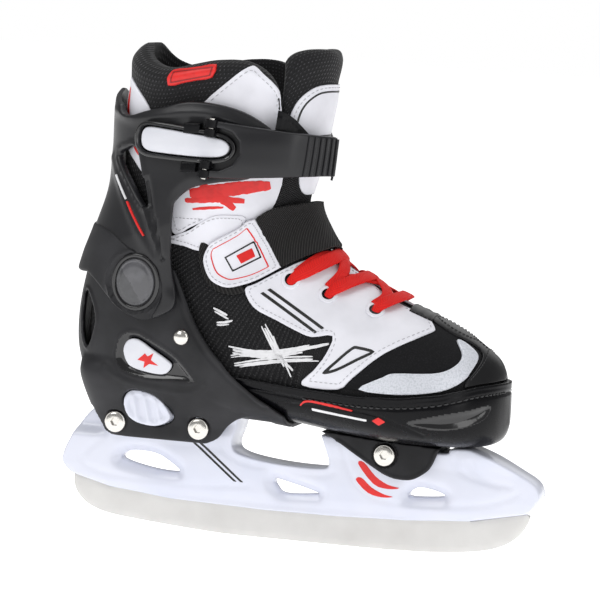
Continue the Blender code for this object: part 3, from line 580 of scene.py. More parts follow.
def merged(name, bits, look, sharp=45):
    """One object from several (points, faces, flat)."""
    verts, faces, flats, count = [], [], [], 0
    for points, its_faces, flat in bits:
        verts.append(points)
        faces += [tuple(k + count for k in f) for f in its_faces]
        flats.append(flat)
        count += len(points)
    return face_outwards(new_object(name, np.concatenate(verts), faces, look, np.concatenate(flats), sharp))


def strand(st_path, off, width, thick, spacing=1.5, sides=12, square=2.6):
    """A bar on the form along a line of (s, t), lifted by off: a number, or one per point."""
    st_path = np.asarray(st_path, float)
    index = np.linspace(0, len(st_path) - 1, 8 * len(st_path))
    smooth_path = spline(st_path, index)
    offs = np.interp(index, np.arange(len(st_path)), np.broadcast_to(off, len(st_path)))
    points = lift(*smooth_path.T, offs)
    run = lengths(points)
    at = np.linspace(0, run[-1], max(4, int(run[-1] / spacing)))
    path, ups = (np.stack([np.interp(at, run, column) for column in values.T], -1)
                 for values in (points, normal(*smooth_path.T)))
    if callable(width):
        width = width(np.linspace(0, 1, len(path)))
    return tube(path, ups, width, thick, sides, square=square)


def stitch_bits(flat_line, off, centre, closed=False, pitch=3.1, length=2.1, girth=0.42):
    """Raised stitches along a line in unrolled millimetres."""
    marks = evened(flat_line, pitch, closed)
    nxt = np.roll(marks, -1, axis=0)
    if not closed:
        marks, nxt = marks[:-1], nxt[:-1]
    bits = []
    for a, b in zip(marks, nxt):
        if np.linalg.norm(b - a) > 2.5 * pitch:
            continue
        line = a + (b - a) * np.linspace(0, length / pitch, 4)[:, None]
        st = to_form(line, centre)
        height = off(*st.T) if callable(off) else np.full(4, float(off))
        arch = np.array([-0.12, 0.2, 0.2, -0.12])
        widths = girth * np.array([0.55, 1.0, 1.0, 0.55])
        bits.append(tube(lift(*st.T, height + arch), normal(*st.T), widths, widths, 6))
    return bits


def lathe(name, profile, position, direction, look, steps=48, sharp=35):
    """A profile of (radius, height) turned about direction through position."""
    angle = 2 * np.pi * np.arange(steps) / steps
    verts = [np.stack([radius * np.cos(angle), radius * np.sin(angle), np.full(steps, height)], -1)
             for radius, height in profile]
    faces = quads(len(profile), steps) + end_caps(len(profile), steps)
    turn = np.array(Vector(direction).to_track_quat("Z", "Y").to_matrix())
    points = np.concatenate(verts) @ turn.T + np.asarray(position, float)
    obj = face_outwards(new_object(name, points, faces, look, sharp=0), weld=True)
    shade(obj.data, sharp)
    return obj


def boolean(obj, other, operation="DIFFERENCE"):
    """Cut or join at once, and remove the tool."""
    modifier = obj.modifiers.new("cut", "BOOLEAN")
    modifier.operation = operation
    modifier.solver = "EXACT"
    modifier.object = other
    bake(obj)
    bpy.data.objects.remove(other)


def bake(obj):
    """Apply an object's modifiers to its mesh."""
    graph = bpy.context.evaluated_depsgraph_get()
    mesh = bpy.data.meshes.new_from_object(obj.evaluated_get(graph))
    obj.modifiers.clear()
    old = obj.data
    obj.data = mesh
    bpy.data.meshes.remove(old)


def block_bits(outline, start, end):
    """A side elevation carried from y = start to y = end, as (points, faces, flat)."""
    outline = np.asarray(outline, float)
    n = len(outline)
    points = np.concatenate([np.insert(outline, 1, y, axis=1) for y in (start, end)])
    faces = [tuple(range(n)), tuple(range(2 * n - 1, n - 1, -1))]
    faces += [(j + n, (j + 1) % n + n, (j + 1) % n, j) for j in range(n)]
    return points, faces, np.zeros((2 * n, 3))


def block(outline, start, end):
    points, faces, _ = block_bits(outline, start, end)
    return face_outwards(new_object("tool", points, faces))


def oval(centre, radius, count=40):
    angle = 2 * np.pi * np.arange(count) / count
    return np.stack([centre[0] + radius[0] * np.cos(angle), centre[1] + radius[1] * np.sin(angle)], -1)


def cross_rod(x, z, low, high, radius, steps=32):
    return block(oval((x, z), (radius, radius), steps), low, high)


def moulded(obj, voxel, passes, look):
    """Turn rough solids into one smooth moulding with soft edges."""
    modifier = obj.modifiers.new("remesh", "REMESH")
    modifier.mode = "VOXEL"
    modifier.voxel_size = voxel * MM
    soften = obj.modifiers.new("soften", "SMOOTH")
    soften.factor = 0.5
    soften.iterations = passes
    bake(obj)
    obj.data.materials.clear()
    obj.data.materials.append(look)
    obj.data.shade_smooth()


def softened(obj, share, passes):
    """Even out the points where share(points) is above 0."""
    points = points_of(obj)
    edges = np.empty(len(obj.data.edges) * 2, dtype=np.int64)
    obj.data.edges.foreach_get("vertices", edges)
    a, b = edges.reshape(-1, 2).T
    count = np.bincount(a, minlength=len(points)) + np.bincount(b, minlength=len(points))
    weight = share(points)[:, None] * 0.5
    for _ in range(passes):
        total = np.zeros_like(points)
        for k in range(3):
            total[:, k] = np.bincount(a, points[b, k], len(points))
            total[:, k] += np.bincount(b, points[a, k], len(points))
        points += weight * (total / np.maximum(count, 1)[:, None] - points)
    move_points(obj, points)


def points_of(obj):
    values = np.empty(len(obj.data.vertices) * 3)
    obj.data.vertices.foreach_get("co", values)
    return values.reshape(-1, 3) / MM


def normals_of(obj):
    values = np.empty(len(obj.data.vertices) * 3)
    obj.data.vertex_normals.foreach_get("vector", values)
    return values.reshape(-1, 3)


def move_points(obj, points):
    obj.data.vertices.foreach_set("co", (points * MM).ravel())
    obj.data.update()


def pushed(obj, height):
    """Move a mesh's points along their normals by height(points, normals) millimetres."""
    points, ups = points_of(obj), normals_of(obj)
    move_points(obj, points + ups * height(points, ups)[:, None])


def groove(points, line, width, depth):
    """Height of a soft channel along an open line in side elevation."""
    return -depth * bell(distance_to(points, line, closed=False), width)


def settle(obj, body, slot, *nodes):
    """Ride a body and stand for CAD nodes; slot is not used."""
    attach(obj, body)
    if nodes:
        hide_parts(*nodes)
    return obj


# ---------------------------------------------------------------- materials
class Look:
    """A Principled material, with its patterns built from nodes."""

    def __init__(self, name, colour, roughness, metallic=0.0, coat=0.0, coat_roughness=0.08, sheen=0.0,
                 specular=0.5):
        self.made = bpy.data.materials.new(name)
        self.made.use_nodes = True
        self.tree = self.made.node_tree
        self.shader = self.tree.nodes["Principled BSDF"]
        self.colour = (*colour, 1.0)
        sockets = {"Base Color": self.colour, "Roughness": roughness, "Metallic": metallic,
                   "Coat Weight": coat, "Coat Roughness": coat_roughness, "Sheen Weight": sheen,
                   "Specular IOR Level": specular}
        for key, value in sockets.items():
            self.shader.inputs[key].default_value = value

    def node(self, kind, inputs=(), **settings):
        made = self.tree.nodes.new("ShaderNode" + kind)
        for key, value in settings.items():
            setattr(made, key, value)
        for key, value in dict(inputs).items():
            if isinstance(value, bpy.types.NodeSocket):
                self.tree.links.new(value, made.inputs[key])
            else:
                made.inputs[key].default_value = value
        return made

    def place(self, stretch=None):
        """Object coordinates in millimetres, stretched along each axis if asked."""
        where = self.node("TexCoord").outputs["Object"]
        scale = [1000.0 / k for k in (stretch or (1.0, 1.0, 1.0))]
        return self.node("Mapping", {"Vector": where, "Scale": scale}).outputs["Vector"]

    def unrolled(self):
        """Millimetres along and round the piece, as two sockets."""
        flat = self.node("Attribute", attribute_name="flat").outputs["Vector"]
        parts = self.node("SeparateXYZ", {"Vector": flat}).outputs
        return parts["X"], parts["Y"]

    def sum(self, operation, a, b=0.0, c=None):
        inputs = {0: a, 1: b}
        if c is not None:
            inputs[2] = c
        return self.node("Math", inputs, operation=operation).outputs[0]

    def noise(self, size, detail=3.0, stretch=None):
        """Noise whose features are about size millimetres across."""
        inputs = {"Vector": self.place(stretch), "Scale": 1.0 / size, "Detail": detail}
        return self.node("TexNoise", inputs).outputs[0]

    def cells(self, size, feature="F1"):
        inputs = {"Vector": self.place(), "Scale": 1.0 / size}
        return self.node("TexVoronoi", inputs, feature=feature).outputs["Distance"]

    def ribs(self, across, pitch):
        """0 to 1 and back every pitch millimetres."""
        wave = self.sum("SINE", self.sum("MULTIPLY", across, 2 * math.pi / pitch))
        return self.sum("MULTIPLY_ADD", wave, 0.5, 0.5)

    def bump(self, height, strength, depth):
        """Surface relief of depth millimetres, laid over any relief that is there."""
        before = self.shader.inputs["Normal"].links
        inputs = {"Height": height, "Strength": strength, "Distance": depth * MM}
        if before:
            inputs["Normal"] = before[0].from_socket
        made = self.node("Bump", inputs)
        self.tree.links.new(made.outputs["Normal"], self.shader.inputs["Normal"])

    def tint(self, mask, colour, low=0.4, high=0.6):
        """Another colour where mask rises from low to high."""
        share = self.node("MapRange", {"Value": mask, "From Min": low, "From Max": high}).outputs["Result"]
        before = self.shader.inputs["Base Color"].links
        base = before[0].from_socket if before else self.colour
        mixed = self.node("Mix", {0: share, 6: base, 7: (*colour, 1.0)}, data_type="RGBA").outputs[2]
        self.tree.links.new(mixed, self.shader.inputs["Base Color"])

    def roughen(self, mask, low, high):
        share = self.node("MapRange", {"Value": mask, "To Min": low, "To Max": high}).outputs["Result"]
        self.tree.links.new(share, self.shader.inputs["Roughness"])


def steel_look():
    look = Look("steel", (0.71, 0.70, 0.68), 0.38, metallic=0.55)
    brushed = look.noise(1.0, 4.0, stretch=(40.0, 1.0, 0.35))
    look.bump(brushed, 0.12, 0.05)
    look.roughen(brushed, 0.3, 0.5)
    look.tint(look.noise(18.0), (0.65, 0.64, 0.62), 0.35, 0.75)
    return look.made


def nickel_look():
    look = Look("nickel", (0.72, 0.70, 0.66), 0.16, metallic=1.0)
    look.roughen(look.noise(1.2, 4.0), 0.1, 0.28)
    look.bump(look.noise(0.5, 3.0), 0.08, 0.03)
    return look.made


def white_plastic_look():
    look = Look("white_plastic", (0.74, 0.76, 0.86), 0.27, coat=0.3, coat_roughness=0.12)
    look.bump(look.noise(9.0, 2.0), 0.06, 0.4)
    look.bump(look.noise(0.5, 2.0), 0.05, 0.02)
    look.tint(look.noise(30.0, 2.0), (0.69, 0.72, 0.84), 0.4, 0.8)
    return look.made


def insert_look():
    look = Look("white_insert", (0.72, 0.73, 0.78), 0.35, coat=0.15)
    look.bump(look.noise(0.45, 3.0), 0.08, 0.03)
    look.tint(look.noise(12.0), (0.67, 0.68, 0.74), 0.4, 0.8)
    return look.made


def charcoal_look():
    look = Look("charcoal_plastic", (0.009, 0.009, 0.0105), 0.5, specular=0.3)
    look.bump(look.cells(0.55), 0.22, 0.05)
    look.bump(look.noise(7.0), 0.05, 0.25)
    look.tint(look.noise(25.0), (0.024, 0.024, 0.027), 0.35, 0.7)
    return look.made


def black_plastic_look():
    look = Look("black_plastic", (0.003, 0.003, 0.004), 0.24, specular=0.17)
    look.roughen(look.noise(6.0, 4.0), 0.2, 0.33)
    look.bump(look.noise(11.0, 2.0), 0.05, 0.4)
    look.bump(look.cells(0.4), 0.05, 0.02)
    return look.made


def satin_black_look():
    look = Look("satin_black", (0.013, 0.013, 0.015), 0.32, specular=0.42)
    look.roughen(look.noise(6.0, 4.0), 0.26, 0.38)
    look.bump(look.noise(11.0, 2.0), 0.05, 0.4)
    look.bump(look.cells(0.4), 0.06, 0.02)
    return look.made


def gloss_black_look():
    look = Look("gloss_black", (0.004, 0.004, 0.005), 0.12, coat=0.5, coat_roughness=0.05)
    look.bump(look.noise(14.0, 2.0), 0.04, 0.5)
    look.roughen(look.noise(5.0, 4.0), 0.1, 0.2)
    return look.made


def grey_gloss_look(name="grey_gloss", colour=(0.045, 0.046, 0.05)):
    look = Look(name, colour, 0.2, coat=0.4, coat_roughness=0.1)
    look.bump(look.noise(0.7, 3.0), 0.05, 0.03)
    look.tint(look.noise(8.0), tuple(k * 1.5 for k in colour), 0.45, 0.8)
    return look.made


def leather_look(name, colour, roughness, grain, strength, coat=0.0, specular=0.5):
    look = Look(name, colour, roughness, coat=coat, coat_roughness=0.15, specular=specular)
    look.bump(look.cells(grain, "SMOOTH_F1"), strength, 0.16)
    look.bump(look.noise(grain * 7), 0.12, 0.5)
    look.tint(look.noise(grain * 22), tuple(k * 0.86 for k in colour), 0.4, 0.8)
    return look.made


def suede_look():
    look = Look("black_suede", (0.005, 0.005, 0.006), 0.85, sheen=0.04, specular=0.2)
    look.bump(look.noise(0.35, 4.0), 0.5, 0.15)
    look.tint(look.noise(0.6, 4.0), (0.016, 0.016, 0.018), 0.5, 0.75)
    return look.made


def reflective_look():
    look = Look("reflective", (0.74, 0.76, 0.82), 0.36, metallic=0.2)
    look.bump(look.cells(0.9), 0.45, 0.3)
    look.tint(look.cells(0.9), (0.60, 0.63, 0.68), 0.42, 0.85)
    return look.made


def mesh_look(name, pitch, base, speck, strength):
    """Knitted air mesh: offset round holes between raised threads."""
    look = Look(name, base, 0.85, sheen=0.12, specular=0.3)
    u, v = look.unrolled()
    rows = look.ribs(u, pitch)
    shifted = look.ribs(look.sum("MULTIPLY_ADD", u, 0.5, v), pitch)
    height = look.sum("MULTIPLY", rows, shifted)
    look.bump(height, strength, 0.5)
    fuzz = look.noise(0.5, 4.0)
    look.bump(fuzz, 0.2, 0.12)
    look.tint(look.sum("MULTIPLY", height, fuzz), speck, 0.36, 0.62)
    return look.made


def knit_look():
    """Coarse stretch knit with ribs that run along the foot's girth."""
    look = Look("coarse_knit", (0.008, 0.008, 0.009), 0.9, sheen=0.06, specular=0.25)
    u, v = look.unrolled()
    wander = look.sum("MULTIPLY_ADD", look.noise(5.0), 1.4, u)
    ribs = look.ribs(wander, 2.6)
    loops = look.ribs(look.sum("ADD", v, look.sum("MULTIPLY", ribs, 0.8)), 1.7)
    height = look.sum("MULTIPLY_ADD", loops, 0.5, ribs)
    look.bump(height, 0.9, 0.7)
    look.tint(look.sum("MULTIPLY", height, look.noise(0.8)), (0.045, 0.044, 0.046), 0.45, 0.9)
    return look.made


def webbing_look():
    look = Look("webbing", (0.010, 0.0095, 0.0095), 0.8, sheen=0.05, specular=0.25)
    u, v = look.unrolled()
    ribs = look.ribs(look.sum("MULTIPLY_ADD", u, 0.55, v), 2.1)
    threads = look.ribs(look.sum("MULTIPLY_ADD", u, -1.3, v), 0.9)
    height = look.sum("MULTIPLY_ADD", threads, 0.35, ribs)
    look.bump(height, 0.9, 0.6)
    # Painted highlight: the raised crests of the ribs are tinted lighter.
    look.tint(height, (0.045, 0.043, 0.042), 0.75, 1.25)
    return look.made


def lace_look():
    look = Look("red_lace", (0.82, 0.012, 0.008), 0.62, sheen=0.03, specular=0.25)
    u, v = look.unrolled()
    chevron = look.sum("MULTIPLY_ADD", look.sum("ABSOLUTE", v), 0.9, u)
    ribs = look.ribs(chevron, 1.15)
    look.bump(ribs, 0.7, 0.3)
    # Painted shade: the grooves between the braid's ribs are tinted darker red.
    look.tint(ribs, (0.52, 0.006, 0.005), 0.25, 0.0)
    look.tint(look.noise(9.0), (0.78, 0.018, 0.012), 0.5, 0.8)
    return look.made


def thread_look(name, colour):
    look = Look(name, colour, 0.6, sheen=0.2)
    look.bump(look.noise(0.25, 3.0), 0.4, 0.1)
    look.tint(look.noise(2.0), tuple(k * 0.8 for k in colour), 0.4, 0.7)
    return look.made


def print_look(name, colour, roughness=0.45):
    """Screen-printed ink, a little uneven."""
    look = Look(name, colour, roughness)
    look.bump(look.noise(0.5, 4.0), 0.15, 0.05)
    look.tint(look.noise(4.0, 5.0), tuple(k * 0.82 for k in colour), 0.45, 0.75)
    return look.made


def foam_look():
    look = Look("footbed_foam", (0.035, 0.035, 0.038), 0.95, sheen=0.25)
    look.bump(look.noise(0.8, 5.0), 0.5, 0.3)
    look.tint(look.noise(1.5, 4.0), (0.07, 0.07, 0.075), 0.45, 0.7)
    return look.made


def floor_look():
    look = Look("pale_floor", (0.94, 0.94, 0.945), 0.75, specular=0.1)
    look.bump(look.noise(60.0, 2.0), 0.02, 0.4)
    look.shader.inputs["Emission Color"].default_value = (1.0, 1.0, 1.0, 1.0)
    look.shader.inputs["Emission Strength"].default_value = FLOOR_GLOW
    return look.made


STEEL, NICKEL = steel_look(), nickel_look()
WHITE_PLASTIC, INSERT = white_plastic_look(), insert_look()
CHARCOAL, BLACK_PLASTIC, GLOSS_BLACK = charcoal_look(), black_plastic_look(), gloss_black_look()
SATIN_BLACK, GREY_GLOSS = satin_black_look(), grey_gloss_look()
# A lighter grey for part of each pivot cap: a painted reflection band.
GREY_PAINTED_REFLECTION = grey_gloss_look("grey_gloss_painted_reflection", (0.075, 0.075, 0.082))
BLACK_LEATHER = leather_look("black_leather", (0.006, 0.006, 0.007), 0.34, 0.8, 0.12, coat=0.04, specular=0.3)
WHITE_LEATHER = leather_look("white_leather", (0.83, 0.83, 0.89), 0.42, 0.9, 0.12)
REFLECTIVE, SUEDE = reflective_look(), suede_look()
FINE_MESH = mesh_look("fine_mesh", 2.1, (0.008, 0.008, 0.009), (0.11, 0.11, 0.12), 0.7)
SIDE_MESH = mesh_look("side_mesh", 1.5, (0.007, 0.007, 0.008), (0.03, 0.03, 0.033), 0.6)
KNIT, WEBBING, RED_LACE, FOAM = knit_look(), webbing_look(), lace_look(), foam_look()
GREY_THREAD = thread_look("grey_thread", (0.50, 0.50, 0.53))
BLACK_THREAD = thread_look("black_thread", (0.03, 0.03, 0.032))
WHITE_INK = print_look("white_ink", (0.80, 0.80, 0.82))
RED_INK = print_look("red_ink", (0.76, 0.014, 0.012), 0.4)
DARK_RED_INK = print_look("dark_red_ink", (0.30, 0.006, 0.008), 0.4)
BLACK_INK = print_look("black_ink", (0.008, 0.008, 0.008), 0.4)


# ---------------------------------------------------------------- camera, light and floor
VIEW_AZIMUTH, VIEW_ELEVATION, VIEW_ROLL = (math.radians(k) for k in (15.0, 5.0, 3.3))
VIEW_WIDTH, VIEW_DISTANCE, SENSOR = 0.330, 2.0, 36.0
VIEW_AIM = Vector((-0.0079, 0.0, 0.1332))
SKY_LIGHT, SKY_SEEN, FLOOR_GLOW, FLOOR_HALF = 0.34, 1.0, 0.75, 12.0


def make_camera():
    level = math.cos(VIEW_ELEVATION)
    away = Vector((math.sin(VIEW_AZIMUTH) * level, -math.cos(VIEW_AZIMUTH) * level, math.sin(VIEW_ELEVATION)))
    right = Vector((math.cos(VIEW_AZIMUTH), math.sin(VIEW_AZIMUTH), 0.0))
    up = away.cross(right)
    across = right * math.cos(VIEW_ROLL) + up * math.sin(VIEW_ROLL)
    over = up * math.cos(VIEW_ROLL) - right * math.sin(VIEW_ROLL)
    camera = linked("camera", bpy.data.cameras.new("camera"))
    turn = Matrix((across, over, away)).transposed().to_4x4()
    camera.matrix_world = Matrix.Translation(VIEW_AIM + away * VIEW_DISTANCE) @ turn
    camera.data.sensor_width = SENSOR
    camera.data.lens = SENSOR * VIEW_DISTANCE / VIEW_WIDTH
    camera.data.clip_end = 30.0
    bpy.context.scene.camera = camera


def area_light(name, position, size, power, aim=(0.0, 0.0, 0.12)):
    light = bpy.data.lights.new(name, "AREA")
    light.shape = "RECTANGLE"
    light.size, light.size_y = size
    light.energy = power
    obj = linked(name, light)
    obj.location = position
    obj.rotation_euler = (Vector(aim) - Vector(position)).to_track_quat("-Z", "Y").to_euler()


def make_light():
    world = bpy.data.worlds.new("studio")
    bpy.context.scene.world = world
    world.use_nodes = True
    tree = world.node_tree
    background = tree.nodes["Background"]
    background.inputs["Color"].default_value = (1.0, 1.0, 1.0, 1.0)
    path = tree.nodes.new("ShaderNodeLightPath")
    strength = tree.nodes.new("ShaderNodeMapRange")
    strength.inputs["To Min"].default_value = SKY_LIGHT
    strength.inputs["To Max"].default_value = SKY_SEEN
    tree.links.new(path.outputs["Is Camera Ray"], strength.inputs["Value"])
    tree.links.new(strength.outputs["Result"], background.inputs["Strength"])
    area_light("key", (-0.9, -1.3, 1.3), (0.9, 0.9), 9.5)
    area_light("fill", (1.4, -0.9, 0.7), (0.5, 1.2), 4.0)
    area_light("top", (0.1, 0.2, 1.6), (1.4, 0.9), 7.5)
    area_light("behind", (0.3, 1.5, 0.9), (1.4, 0.8), 2.5)


def make_floor():
    mesh = bpy.data.meshes.new("floor")
    corners = [(x * FLOOR_HALF, y * FLOOR_HALF, 0) for x, y in ((-1, -1), (1, -1), (1, 1), (-1, 1))]
    mesh.from_pydata(corners, [], [(0, 1, 2, 3)])
    floor = linked("floor", mesh)
    mesh.materials.append(floor_look())


bpy.context.scene.view_settings.view_transform = "Standard"
make_camera()
make_light()
make_floor()


# ---------------------------------------------------------------- blade, holder and bolts
BLADE_TOP = (
    (-132.5, 26.5), (-110, 20.3), (-75, 16.6), (-20, 15.2), (20, 15.6), (60, 17), (95, 19.8), (127, 26.8),
)
BLADE_RUN = (
    (128.6, 25.5), (126.5, 20), (122.5, 14.2), (116, 9.2), (105, 5), (85, 1.9), (60, 0.5), (35, 0),
    (-35, 0), (-60, 1), (-90, 3.2), (-112, 5.6), (-124, 9.8), (-130.5, 16), (-132.6, 21.5),
)
TANG_DEPTH, SLOT_CLEAR, BLADE_HALF = 7.0, 0.35, 1.5
HOLDER_REAR = (
    (-135, 29), (-138, 33.5), (-137, 39.5), (-133.5, 47), (-129, 55.5), (-124, 62), (-119, 66),
)
HOLDER_ARCH = (
    (-36, 66), (-37, 60), (-39.3, 52), (-37, 47.5), (-28, 44.8), (-12, 42.9), (4, 42.3), (14, 42.9),
    (16.2, 45.5), (14.5, 53), (11.5, 61.5),
)
HOLDER_FRONT = (
    (43, 59), (80, 57.2), (84, 59.6), (90, 60.4), (96, 60.2), (107, 56.4), (120, 50.4), (131, 44.5),
    (134.3, 38), (132.5, 33), (128.5, 28),
)
HOLDER_Z = (12.0, 19.0, 25.0, 33.0, 48.0, 56.0, 62.8, 66.5)
HOLDER_HALF = (4.6, 4.6, 7.0, 8.5, 10.0, 12.6, 12.6, 15.8)
WINDOWS = (
    ((-104, 37), (-99.5, 42), (-86, 42), (-77.5, 38.5), (-70.5, 32.6), (-86, 32.8)),
    ((-16, 33), (-12, 33.6), (9, 28.3), (6, 27), (-9.5, 26), (-14.5, 29.5)),
    ((60.8, 31), (65, 36), (73, 35.9), (81.3, 33.3), (76, 31.6)),
)
HOLDER_STEPS = (
    ((-112, 51), (-122, 42), (-126, 35), (-118, 30), (-95, 27), (-60, 26), (-30, 29)),
    ((24, 57), (27, 44), (35, 33), (52, 27), (90, 28.5), (112, 33), (122, 38)),
    ((88, 56), (89, 50), (95, 45.5), (112, 41.5)),
    ((96, 53), (98, 48.5), (104, 45.5), (118, 42)),
    ((-45, 58), (-46, 51), (-41, 45), (-28, 41), (0, 38.5), (12, 38.5), (19, 41)),
)


def tang_top(clear):
    tang = BLADE_TOP[1:-1]
    top = [(x, z + TANG_DEPTH + clear) for x, z in tang]
    top[0] = (tang[0][0] - clear, top[0][1])
    top[-1] = (tang[-1][0] + clear, top[-1][1])
    return top


def make_blade():
    run = rounded(BLADE_RUN, 5, closed=False)
    outline = np.concatenate([[BLADE_TOP[0], BLADE_TOP[1]], tang_top(0.0), BLADE_TOP[-2:], run])

    def half(x, z):
        edge = 0.25 * bell(z - np.interp(x, run[::-1, 0], run[::-1, 1]), 1.2)
        return BLADE_HALF - edge

    blade = plate("blade_steel", outline, half, STEEL, step=3.0, edge=0.35)
    settle(blade, "base", "steel", "blade")


def make_holder():
    arch = rounded(HOLDER_ARCH[1:], 4, closed=False)
    under = [(x, z + 0.5) for x, z in BLADE_TOP][::-1]
    outline = np.concatenate([rounded(HOLDER_REAR, 4, closed=False), [HOLDER_ARCH[0]], arch,
                              rounded(HOLDER_FRONT, 4, closed=False), under])
    windows = [rounded(window, 4) for window in WINDOWS]
    steps = [rounded(line, 4, closed=False) for line in HOLDER_STEPS]

    def half(x, z):
        points = np.stack([x, z], -1)
        depth = np.interp(z, HOLDER_Z, HOLDER_HALF)
        relief = sum(groove(points, line, 1.5, 0.6) for line in steps)
        tail = 1 - 0.6 * smooth(z, 48.0, 56.0) * smooth(-x, 106.0, 118.0)
        web = 1 - 0.5 * bell(np.min([distance_to(points, w) for w in windows], axis=0), 3.6)
        return depth * tail * web + np.where(z < 58.0, relief, 0.0)

    holder = plate("holder_moulding", outline, half, WHITE_PLASTIC, windows, step=1.7, edge=1.3)
    slot = [(BLADE_TOP[1][0] - SLOT_CLEAR, 10.0), *tang_top(SLOT_CLEAR),
            (BLADE_TOP[-2][0] + SLOT_CLEAR, 10.0)]
    boolean(holder, block(slot, -BLADE_HALF - SLOT_CLEAR, BLADE_HALF + SLOT_CLEAR))
    for x, z in (*HEEL_BOLTS, TOE_BOLT):
        boolean(holder, cross_rod(x, z, -30, 30, BOLT_BORE))
    settle(holder, "base", "white_plastic", "blade_holder")


HOLDER_BARS = (
    ((-63, 51.6), (-61, 51.6), (-35.8, 30.6), (-37.6, 30.6)),
    ((-59.2, 51.6), (-57.2, 51.6), (-32, 30.6), (-33.8, 30.6)),
)
HOLDER_SPLASH = (
    ((33, 47), (36, 48.4), (43, 41), (50, 37), (56.5, 35.6), (50, 34.6), (42, 36.6)),
    ((32, 38), (35, 39.6), (41, 34.6), (48, 31.4), (53, 30.4), (47, 29.6), (39, 31.4)),
)


def holder_half(z):
    """Half the width of the holder at height z."""
    return np.interp(z, HOLDER_Z, HOLDER_HALF)


def decal(name, outline, look, side):
    """A thin print on the flat side of the holder."""
    verts, faces = triangulate(evened(outline, 0.8), [], [], (0.3,), 1.6)
    depth = holder_half(verts[:, 1])
    layers = [np.stack([verts[:, 0], side * (depth + by), verts[:, 1]], -1) for by in (0.09, -0.3)]
    points, all_faces = thick_patch(verts, faces, *layers)
    return face_outwards(new_object(name, points, all_faces, look))


def make_holder_marks():
    for side, label in SIDES:
        for k, outline in enumerate(HOLDER_BARS):
            bar = decal(f"holder_bar_{k}_{label}", resampled(outline, 3.0), BLACK_INK, side)
            settle(bar, "base", "white_plastic")
        for k, outline in enumerate(HOLDER_SPLASH):
            splash = decal(f"holder_splash_{k}_{label}", rounded(outline, 3), RED_INK, side)
            settle(splash, "base", "white_plastic")


def make_bolt(name, x, z, face):
    """Bolt from the outer side and barrel nut from the inner side, both with a hex socket."""
    head = [(0.01, 0.0), (4.4, 0.0), (4.75, -0.15), (5.0, -0.3), (5.5, -0.3), (5.85, -0.6), (6.0, -1.0),
            (6.0, -BOLT_HEAD)]
    depth = -(face + BOLT_HEAD)
    shafts = {"bolt": [(3.0, -BOLT_HEAD), (3.0, depth + 11), (0.01, depth + 11)],
              "nut": [(5.0, -BOLT_HEAD), (5.0, depth - 10.5), (3.35, depth - 10.5), (3.35, depth + 11.5),
                      (0.01, depth + 11.5)]}
    for kind, side in (("bolt", -1), ("nut", 1)):
        top = (x, side * (face + BOLT_HEAD), z)
        made = lathe(f"{name}_{kind}_head", [*head, *shafts[kind]], top, (0, side, 0), NICKEL)
        low, high = sorted((top[1] - side * 1.9, top[1] + side))
        boolean(made, block(oval((x, z), (2.5, 2.5), 6), low, high))
        shade(made.data, 35)
        settle(made, "base", "nickel", f"{name}_{kind}")


def make_knurled_ring():
    """Toothed washer under the toe bolt's head."""
    for side in (-1, 1):
        angle = 2 * np.pi * np.arange(96) / 96
        radius = 7.3 + 0.22 * np.sign(np.sin(24 * angle))
        ring = np.stack([TOE_BOLT[0] + radius * np.cos(angle), TOE_BOLT[1] + radius * np.sin(angle)], -1)
        low, high = sorted((side * (BRACKET_FACE - 0.2), side * (BRACKET_FACE + 0.7)))
        washer = block(ring, low, high)
        boolean(washer, cross_rod(*TOE_BOLT, low - 1, high + 1, 6.2))
        washer.name = f"toe_washer_{'outer' if side < 0 else 'inner'}"
        washer.data.materials.append(BLACK_PLASTIC)
        settle(washer, "base", "black_plastic")


BRACKET = (
    (12, 64.1), (24.3, 57.9), (31.3, 53.5), (44.3, 46.1), (49.3, 43.3), (56.3, 41.5), (64.3, 41.9),
    (69.3, 44.5), (72.9, 47.2), (75.7, 51.5), (79, 60.1), (43, 61.6),
)

BRACKET_RIM = ((22, 56), (33, 49.5), (46, 42), (57, 38.8), (67, 40), (76, 47), (80, 56))


def make_bracket():
    curve = rounded(BRACKET[:-1], 4, closed=False)
    bracket = block(np.concatenate([curve, [BRACKET[-1]]]), -BRACKET_FACE, BRACKET_FACE)
    room = [(-10, 30), (-10, 63), (10, 62), (43, 59.4), (80, 57.6), (95, 57.4), (95, 30)]
    boolean(bracket, block(room, -13, 13))
    boolean(bracket, cross_rod(*TOE_BOLT, -25, 25, BOLT_BORE))
    moulded(bracket, 0.55, 3, CHARCOAL)
    lower = rounded(BRACKET_RIM, 4, closed=False)

    def relief(points, ups):
        side = np.abs(points[:, 1]) > BRACKET_FACE - 1.5
        gap = distance_to(points[:, ::2], lower, closed=False)
        return np.where(side, 0.5 * bell(gap - 3.4, 0.9), 0.0)

    pushed(bracket, relief)
    bracket.name = "toe_bracket_moulding"
    settle(bracket, "base", "charcoal_plastic", "toe_bracket")


# ---------------------------------------------------------------- heel shell
SKIRT_LEVELS = (
    (51.4, -114.5, 18.8), (53.5, -117.3, 19.4), (60, -120.3, 20), (66, -121.7, 22.5), (72, -123.7, 26.8),
    (78, -125.4, 31), (84, -127.2, 34), (88, -128, 34.2), (94, -127, 32),
)
SKIRT_WALL, SKIRT_DEPTH, SKIRT_POWER = 3.0, 30.0, 0.55
SHELL_RIDGE = ((-108, 91), (-97, 84.5), (-80, 81.5), (-60, 80.5), (-50, 86))
EAR_RADIUS = 16.0
SKIRT_FRONT = (
    (-25, 96), (-18, 71), (-30, 68.4), (-35, 66), (-40, 61.8), (-44, 56.4), (-47, 53.8), (-52, 51.4),
    (-52, 40),
)
SHELL_FRONT = (
    (-4, 40), (-5, 71.8), (-15.9, 79.3), (-33, 92.2), (-45, 103.6), (-53.6, 115), (-59.3, 125),
    (-65, 137.6), (-69.5, 147.5),
)
BUTTON = (
    (-97.8, 71), (-96.5, 76.3), (-92, 78.7), (-83, 77.5), (-76.5, 74), (-71, 67), (-72, 63), (-79, 59.8),
    (-89, 60.8), (-95, 64.4),
)
